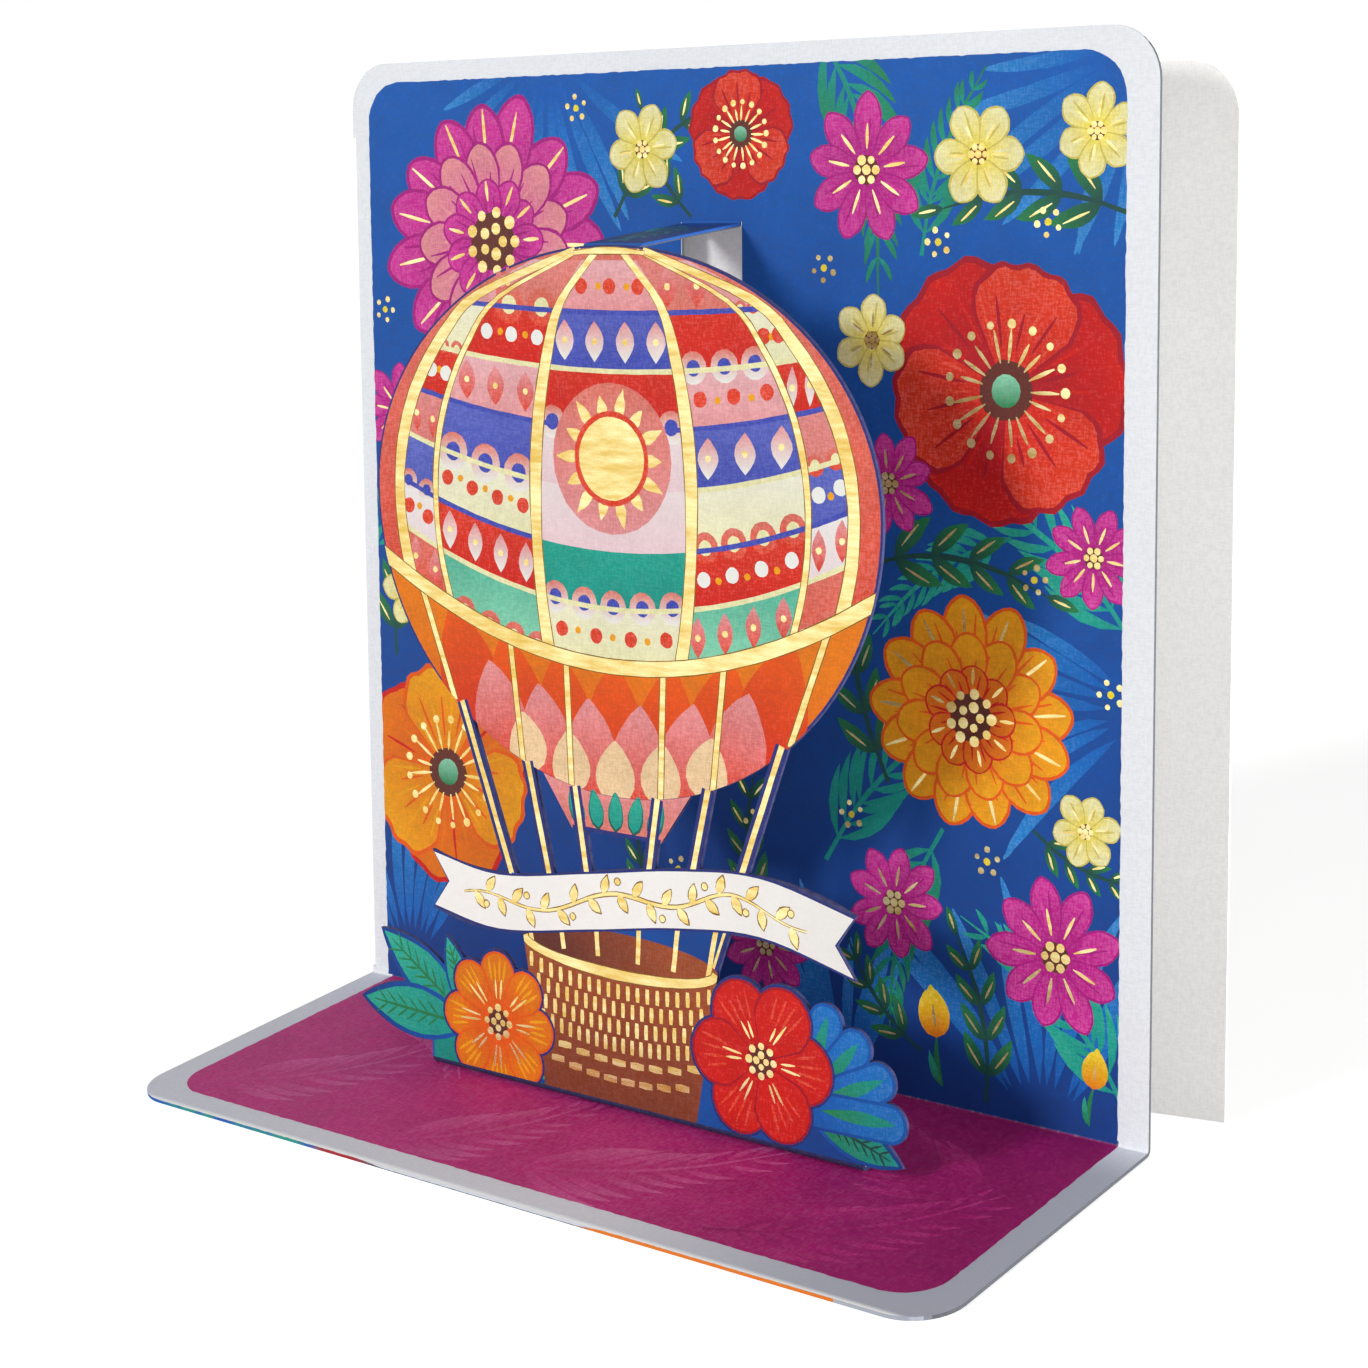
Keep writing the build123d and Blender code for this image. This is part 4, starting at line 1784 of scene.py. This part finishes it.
    def paint_bowl(self) -> None:
        """Paints the envelope below its gold band."""
        art = self.art
        band_level, band_end, steps = self.levels[-1], 0.985, 24
        band = [self.crossing(-band_end + 2 * band_end * k / steps, band_level) for k in range(steps + 1)]
        low = [p for p in self.envelope(self.margin) if p.imag < self.middle - 12]
        low.sort(key=lambda p: p.real)
        art.lay([*low, *reversed(band)], Ink.TANGERINE, Ink.ORANGE, (50j, 74j))
        sunk, fan = 2, 0.55
        rows = ((21, 13, Ink.RED, Ink.TANGERINE), (14.5, 11, Ink.CORAL, Ink.ROSE),
                (8.5, 8, Ink.PEACH, Ink.PEACH))
        for row, (reach, width, ink, tip) in enumerate(rows):
            count, apart = 7 - row, 10.6 - 0.3 * row
            for k in range(count):
                across = (k - (count - 1) / 2) * apart
                root = complex(across * 0.86, self.lower_edge(across * 0.86) + 0.5)
                art.petal(root - 1j * sunk, 90 - across * fan, reach + sunk, width, ink, tip, blunt=0.8,
                          peak=0.8)
        for top in self.rope_tops:
            for side in (-1, 1):
                edge = complex(side * top, self.lower_edge(top))
                end = self.crossing(side * top * 1.12 / self.half_at(74), band_level)
                art.gild([edge, (edge + end) / 2, end], self.rope_gold)
        art.gild([2 * band[0] - band[1], *band, 2 * band[-1] - band[-2]], self.seam_width, steps=2)

    def paint_ropes(self) -> None:
        """Paints the mouth and the ropes, gold on a dark margin."""
        art = self.art
        half, low = self.mouth_half - 0.05, self.mouth_low
        rim = [complex(across, self.lower_edge(across))
               for across in (self.mouth_top_half * (1 - k / 9) for k in range(19))]
        art.cut([complex(-half, low), complex(half, low), *rim], Ink.SALMON, Ink.ROSE, (44j, 54j))
        apart, fan, tall, wide = 3.5, 10, 6.6, 3.1
        for k in range(-2, 3):
            for inset, ink, tip in ((0.0, Ink.BOTTLE, Ink.TEAL), (0.5, Ink.TEAL, Ink.SEA_GREEN)):
                root = complex(k * apart, low + 0.4 + inset)
                art.petal(root, 90 - k * fan, tall - 1.6 * inset, wide - inset, ink, tip, blunt=0.7, peak=0.8)
        art.line([complex(-half, low + 0.3), complex(half, low + 0.3)], 0.7, Ink.NAVY)
        for top, foot in zip(self.rope_tops, self.rope_feet):
            for side in (-1, 1):
                start = complex(side * top, self.lower_edge(top) + self.rope_lap)
                end = complex(side * foot, self.rim_height)
                way = (start - end) / abs(start - end)
                across = 1j * way * (self.rope_width / 2 - 0.04)
                last = end + way * (abs(start - end) - self.rope_lap / way.imag)
                art.cut([end - across, end + across, last + across, last - across], Ink.NAVY)
                art.line([end, (end + last) / 2, last], self.rope_gold, Ink.GOLD, steps=4)

    def paint_basket(self) -> None:
        """Paints the basket with its rim, and the ropes' feet behind it."""
        art = self.art
        feet, low, high = self.rope_feet[0], self.rim_height, self.rim_height + self.banner_height
        rise = self.lower_edge(self.rope_tops[0]) + self.rope_lap - low
        far = feet + (self.rope_tops[0] - feet) / rise * self.banner_height
        art.cut([complex(-feet, low), complex(feet, low), complex(far, high), complex(-far, high)],
                Ink.COBALT, Ink.DEEP_BLUE, (complex(-far, high), complex(far, high)))
        art.cut([complex(-self.rim_half, low), complex(-self.foot_half, 0), complex(self.foot_half, 0),
                 complex(self.rim_half, low)], Ink.BROWN, Ink.UMBER, (24j, -14j))
        mouth = oval(complex(0, low), self.rim_half, self.rim_drop, 48)
        art.cut(mouth, Ink.UMBER, Ink.BROWN, (-10 + 20j, 12 + 30j))
        for foot in self.rope_feet:
            for side in (-1, 1):
                ends = [complex(side * foot * 0.97, low - 1.0), complex(side * foot * 1.1, high)]
                art.line(ends, 0.9, Ink.GOLD)
        rim = [complex(self.rim_half * 0.985 * math.cos(a), low - self.rim_drop * math.sin(a))
               for a in (math.pi * k / 16 for k in range(17))]
        art.gild(rim, 1.7, start=0.8, end=0.8, steps=2)
        self.paint_weave()

    def paint_weave(self) -> None:
        """Paints the gold dashes of the basket's weave, upright in the upper rows and level below."""
        rows, upright_rows, first_drop, row_step, last_share = 6, 4, 2.7, 2.9, 0.96
        for row in range(rows):
            count, reach, width = (19, 1.2j, 0.8) if row < upright_rows else (9, 1.35 + 0j, 1.2)
            for k in range(count):
                across = (2 * k + 1 + row % 2) / count - 1
                if abs(across) > last_share:
                    continue
                bow = self.rim_drop * math.sqrt(max(1 - across * across, 0.0))
                height = self.rim_height - first_drop - row * row_step - bow
                half = self.rim_half + (self.foot_half - self.rim_half) * (1 - height / self.rim_height)
                place = complex(across * half, height)
                self.art.line([place + reach, place - reach], width, Ink.GOLD, steps=2, ends=0.8)

    def paint_banner(self) -> None:
        """Paints the ribbon with a gold garland."""
        art = self.art
        line = smooth_line(self.banner_line, 6)
        notch, inset, notch_inset = self.banner_notch, 0.35, 0.3
        half = 1j * (self.banner_height / 2 - self.die_margin)
        art.cut([*[p - half for p in line], line[-1] - notch, *[p + half for p in reversed(line)],
                 line[0] + notch], Ink.NAVY)
        half = 1j * (self.banner_height / 2 - 0.45)
        # The ribbon greys towards its right end: painted shade
        art.lay([line[0] - half + inset, *[p - half for p in line[1:-1]], line[-1] - half - inset,
                 line[-1] - notch - notch_inset, line[-1] + half - inset,
                 *[p + half for p in reversed(line[1:-1])], line[0] + half + inset,
                 line[0] + notch + notch_inset], Ink.CHALK, Ink.PEARL, (10 + 34j, 70 + 30j))
        wave, wave_rate, leaf_lean, leaf_length, leaf_width = 1.2j, 0.75, 58, 3.3, 1.6
        vine = [p + wave * math.sin(k * wave_rate) for k, p in enumerate(line[3:-3])]
        art.gild(vine, 0.55, start=0.5, end=0.5, steps=2)
        for k, place in enumerate(vine[1:-1]):
            side = 1 if k % 2 else -1
            angle = math.degrees(cmath.phase(vine[k + 2] - vine[k])) + side * leaf_lean
            # Each gold leaf sits on a darker one, a rim of painted shade
            for grown, ink in ((0.3, Ink.FOIL_SHADE), (0.0, Ink.GOLD)):
                art.petal(place, angle, leaf_length + grown, leaf_width + grown, ink, blunt=0.9, peak=0.9,
                          steps=6)
            if k % 3 == 1:
                # Each gold spot sits on a darker one, a rim of painted shade
                for radius, ink in ((0.72, Ink.FOIL_SHADE), (0.55, Ink.GOLD)):
                    art.disc(place - 2j * side, radius, ink, points=9)

    def paint_strip(self) -> None:
        """Paints the strip that joins everything at the foot."""
        left, high, inset = self.strip_left, self.strip_height, 0.4
        self.art.cut(oblong(left, self.strip_right, 0, high), Ink.COBALT, Ink.DEEP_BLUE, (0j, 46 + 0j))
        self.art.lay(oblong(left + inset, -14, 0, high - inset), Ink.TEAL, Ink.BOTTLE, (-36 + 9j, -12 + 0j))

    def paint_leaves(self) -> None:
        """Paints the pointed leaves at the left and the round ones at the right."""
        for angle, length in ((147, 25.0), (178, 26.0), (112, 16.0), (-16, 20.0)):
            self.pointed_leaf(-31.0 + 8.0j, angle, length, Ink.TEAL, Ink.SEA_GREEN, Ink.GREEN)
        root = 36.0 + 8.0j
        self.pointed_leaf(root, -18, 18.6, Ink.GREEN, Ink.TEAL, Ink.BOTTLE)
        for angle, length in ((74, 17.4), (50, 17.2), (26, 17.9), (2, 18.4)):
            self.round_leaf(root, angle, length)

    def round_leaf(self, root: complex, angle: float, length: float) -> None:
        """Paints one die-cut leaf with a round end.

        Args:
            root: Where it grows from.
            angle: Its direction in degrees.
            length: From root to end.
        """
        art, way = self.art, turned(angle)
        half, inset, end_radius, vein_width = 3.11, 0.5, 3.15, 2.1
        end = root + way * (length - end_radius)
        rim, face = [[root - side, *arc(end, abs(side), range(-90, 91, 15), angle), root + side]
                     for side in (way * 1j * half, way * 1j * (half - inset))]
        art.cut(rim, Ink.DEEP_BLUE, Ink.COBALT, (root, root + way * length))
        art.lay(face, Ink.COBALT, Ink.SKY, (root + way * 2, root + way * length * 1.6), 0.05)
        art.petal(root + way * 3, angle, length - 5.0, vein_width, Ink.GREEN, Ink.TEAL, blunt=0.8, peak=1.1)

    def pointed_leaf(self, root: complex, angle: float, length: float, ink: Ink, tip: Ink, vein: Ink) -> None:
        """Paints one die-cut leaf with its veins.

        Args:
            root: Where it grows from.
            angle: Its direction in degrees.
            length: From root to end.
            ink: Colour at the root.
            tip: Colour at the end.
            vein: Colour of its veins.
        """
        art, way = self.art, turned(angle)
        slimness, steps, vein_width, side_width, side_lean = 0.36, 12, 0.55, 0.42, 38
        bow = length * slimness / 2
        lower, upper = [], []
        for t in (k / steps for k in range(1, steps)):
            half = 4 * bow * t * (1 - t)
            lower.append(root + way * complex(length * t, -half))
            upper.append(root + way * complex(length * t, half))
        end = root + way * length
        art.cut([root, *lower, end, *reversed(upper)], Ink.COBALT, Ink.DEEP_BLUE, (root, end))
        inner = root + way * length * 0.03
        art.petal(inner, angle, length * 0.93, length * 0.3, ink, tip, blunt=0.95, peak=1.0)
        art.ray(inner, way, 0.0, length * 0.85, vein_width, vein, steps=4)
        for k in range(3, 9):
            place = inner + way * length * k / 11
            for side in (-1, 1):
                outward = turned(angle + side * side_lean)
                art.ray(place, outward, 0.0, length * 0.13, side_width, vein, steps=2)

    def paint_flowers(self) -> None:
        """Paints the two flowers at the basket's sides."""
        self.paint_flower(-25.6 + 9.8j, 8, 8.2, 4.2, (Ink.TANGERINE, Ink.TANGERINE, Ink.ORANGE), Ink.AMBER)
        self.paint_flower(28.0 + 13.6j, 6, 7.8, 5.9, (Ink.CRIMSON, Ink.RED, Ink.RED), Ink.CORAL)

    def paint_flower(self, centre: complex, petals: int, ring: float, petal: float, inks: Inks,
                     light: Ink) -> None:
        """Paints one die-cut flower.

        Args:
            centre: Its middle.
            petals: How many round petals it has.
            ring: Distance of the petals from its middle.
            petal: Radius of a petal.
            inks: Colours of the petals' rims, roots and ends.
            light: Colour of their streaks.
        """
        art = self.art
        rim, root, tip = inks
        streak, dash, bead = 0.5, 0.45, 0.62
        angles = [360 * k / petals for k in range(petals)]
        art.cut(arc(centre, ring, range(0, 360, 12)), Ink.NAVY)
        for angle in angles:
            art.cut(arc(centre + ring * turned(angle), petal - 0.03, range(0, 360, 15)), Ink.NAVY)
        for angle in angles[::2] + angles[1::2]:
            spot = centre + ring * turned(angle)
            axis = (centre + ring * 0.4 * turned(angle), spot)
            for inset, ink, end in ((0.45, rim, None), (0.85, root, tip)):
                edge = arc(spot, petal - inset, range(-110, 111, 20), angle)
                art.lay([centre, *edge], ink, end, axis, 0.05)
            for lean in (-13, -4, 5, 14):
                far = ring + petal * art.hand.uniform(0.4, 0.7)
                art.ray(centre, turned(angle + lean * 6 / petals), ring * 0.85, far, streak, light)
            for lean in (-7, 4):
                far = ring * art.hand.uniform(0.8, 1.0)
                art.ray(centre, turned(angle + lean), ring * 0.48, far, dash)
        art.disc(centre, ring * 0.36, rim, points=16)
        art.disc(centre, ring * 0.27, Ink.UMBER)
        art.dots(centre, ring * 0.3, 8, bead)
        art.dots(centre, ring * 0.12, 4, 0.6)

    def build(self, finishes: Sequence[Material]) -> None:
        """Paints the figure and makes the films of its two halves.

        Args:
            finishes: Materials for ink and for foil.
        """
        for paint in (self.paint_envelope, self.paint_bowl, self.paint_ropes, self.paint_strip,
                      self.paint_leaves, self.paint_basket, self.paint_banner, self.paint_flowers):
            paint()
        plane = upright(FOLD_Y - FIGURE_REACH, FOOT_LIFT)
        for name, side in (("figure_print_left", -1), ("figure_print_right", 1)):
            clip = oblong(0, side * self.clip_half, self.clip_low, self.clip_high)
            Film(name, plane, self.art, clip).build(finishes, "figure_stock")


class LampKind(Enum):
    """Kinds of lamp in the studio."""

    SUN = "SUN"
    PANEL = "AREA"


@dataclass(frozen=True)
class Lamp:
    """One lamp: a far sun with a spread in degrees, or a lit rectangle with a size in metres.

    It points at the origin unless it is given another direction.
    """

    name: str
    kind: LampKind
    place: Triple
    power: float
    spread: float = 0.0
    size: Pair = (0.0, 0.0)
    towards: Triple | None = None

    def hang(self) -> None:
        """Makes the lamp in its place."""
        lamp = bpy.data.lights.new(self.name, self.kind.value)
        lamp.energy = self.power
        if self.kind is LampKind.SUN:
            lamp.angle = math.radians(self.spread)
        else:
            lamp.shape = "RECTANGLE"
            lamp.size, lamp.size_y = self.size
        holder = placed(self.name, lamp)
        holder.location = self.place
        way = Vector(self.towards) if self.towards else -Vector(self.place)
        holder.rotation_euler = way.to_track_quat("-Z", "Y").to_euler()


@dataclass
class Studio:
    """The pale floor, the white surroundings, the lamps and the camera."""

    eye: Triple = (0.26289, -0.29619, 0.17847)
    right: Triple = (0.78796, 0.61074, -0.07825)
    up: Triple = (-0.06496, 0.20883, 0.97579)
    back: Triple = (0.6123, -0.7638, 0.20423)
    lens: float = 70.627
    sensor: float = 36.0
    shift: float = -0.1199
    nearest: float = 0.01
    floor_half: float = 8.0
    floor_drop: float = -0.00005
    floor_glow: float = 0.56
    floor_inks: tuple[str, str] = ("f2f2f1", "f8f8f8")
    floor_roughness: float = 0.9
    floor_scale: float = 30.0
    floor_detail: float = 3.0
    sky_level: float = 0.3
    lamps: tuple[Lamp, ...] = (
        Lamp("window", LampKind.SUN, (-0.38, -0.81, 0.45), 1.6, spread=14.0),
        Lamp("fill", LampKind.SUN, (0.7, -0.6, 0.38), 0.3, spread=60.0),
        Lamp("side_strip", LampKind.PANEL, (0.46, 0.02, 0.06), 0.9, size=(0.06, 0.14),
             towards=(-1.0, 0.0, 0.0)),
        Lamp("leaf_glow", LampKind.PANEL, (0.4, 0.045, 0.0003), 1.68, size=(0.02, 0.0004),
             towards=(-0.4, 0.0, 0.917)))

    def build(self) -> None:
        """Sets up everything around the card."""
        self.lay_floor()
        self.surround()
        for lamp in self.lamps:
            lamp.hang()
        self.place_camera()

    def lay_floor(self) -> None:
        """Makes the white floor, just under the card, which keeps the card's shadow."""
        ground = bmesh.new()
        bmesh.ops.create_grid(ground, x_segments=1, y_segments=1, size=self.floor_half)
        bmesh.ops.translate(ground, vec=(0, 0, self.floor_drop), verts=ground.verts[:])
        mesh = bpy.data.meshes.new("floor")
        ground.to_mesh(mesh)
        ground.free()
        finish, n, shader, place = Finish("floor_paper", self.floor_roughness, 0.0).start()
        paper = n.blend(n.noise(place, self.floor_scale, self.floor_detail), *self.floor_inks)
        glow = n.times(n.looked_at(), self.floor_glow)
        for name, value in (("Base Color", paper), ("Roughness", self.floor_roughness),
                            ("Emission Color", WHITE), ("Emission Strength", glow)):
            n.feed(shader, name, value)
        mesh.materials.append(finish)
        floor = placed("floor", mesh)

    def surround(self) -> None:
        """Makes the white surroundings, which light the card less than they show."""
        world = bpy.data.worlds.new("studio")
        bpy.context.scene.world = world
        world.use_nodes = True
        n = Nodes(world.node_tree)
        sky = world.node_tree.nodes["Background"]
        n.feed(sky, "Color", WHITE)
        n.feed(sky, "Strength", n.larger(n.looked_at(), self.sky_level))

    def place_camera(self) -> None:
        """Puts the camera where the picture was taken from."""
        lens = bpy.data.cameras.new("camera")
        lens.sensor_width = self.sensor
        lens.lens = self.lens
        lens.shift_y = self.shift
        lens.clip_start = self.nearest
        holder = placed("camera", lens)
        turn = Matrix((Vector(self.right), Vector(self.up), Vector(self.back))).transposed()
        holder.matrix_world = Matrix.Translation(self.eye) @ turn.to_4x4()
        bpy.context.scene.camera = holder
        bpy.context.scene.view_settings.view_transform = "Standard"


def dress(node: str, finish: Material) -> None:
    """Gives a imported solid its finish.

    Args:
        node: Its name in the frame.
        finish: The material for all its faces.
    """
    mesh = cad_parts[node].data
    for index in range(len(mesh.materials)):
        mesh.materials[index] = finish
    if not mesh.materials:
        mesh.materials.append(finish)
    log.info("%s: dressed in %s", node, finish.name)


def main() -> None:
    """Dresses the card, prints its faces and sets up the studio."""
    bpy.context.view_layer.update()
    for effect in (PaperTooth(), BrushWash(), FoilCrinkle()):
        effect.build()
    inks = [Paint("printed_paint", 0.53, 0.018).material(), Foil("gold_foil", 0.16, 0.02).material()]
    dress("folded_card", CardStock("card_stock_white", 0.75, 0.03).material())
    dress("balloon_figure", FigureStock("figure_stock_white", 0.75, 0.02).material())
    for assembly in (ScenePanel(), BaseFlap(), BalloonFigure()):
        assembly.build(inks)
    Studio().build()
    bpy.context.view_layer.update()


if __name__ == "__main__":
    main()
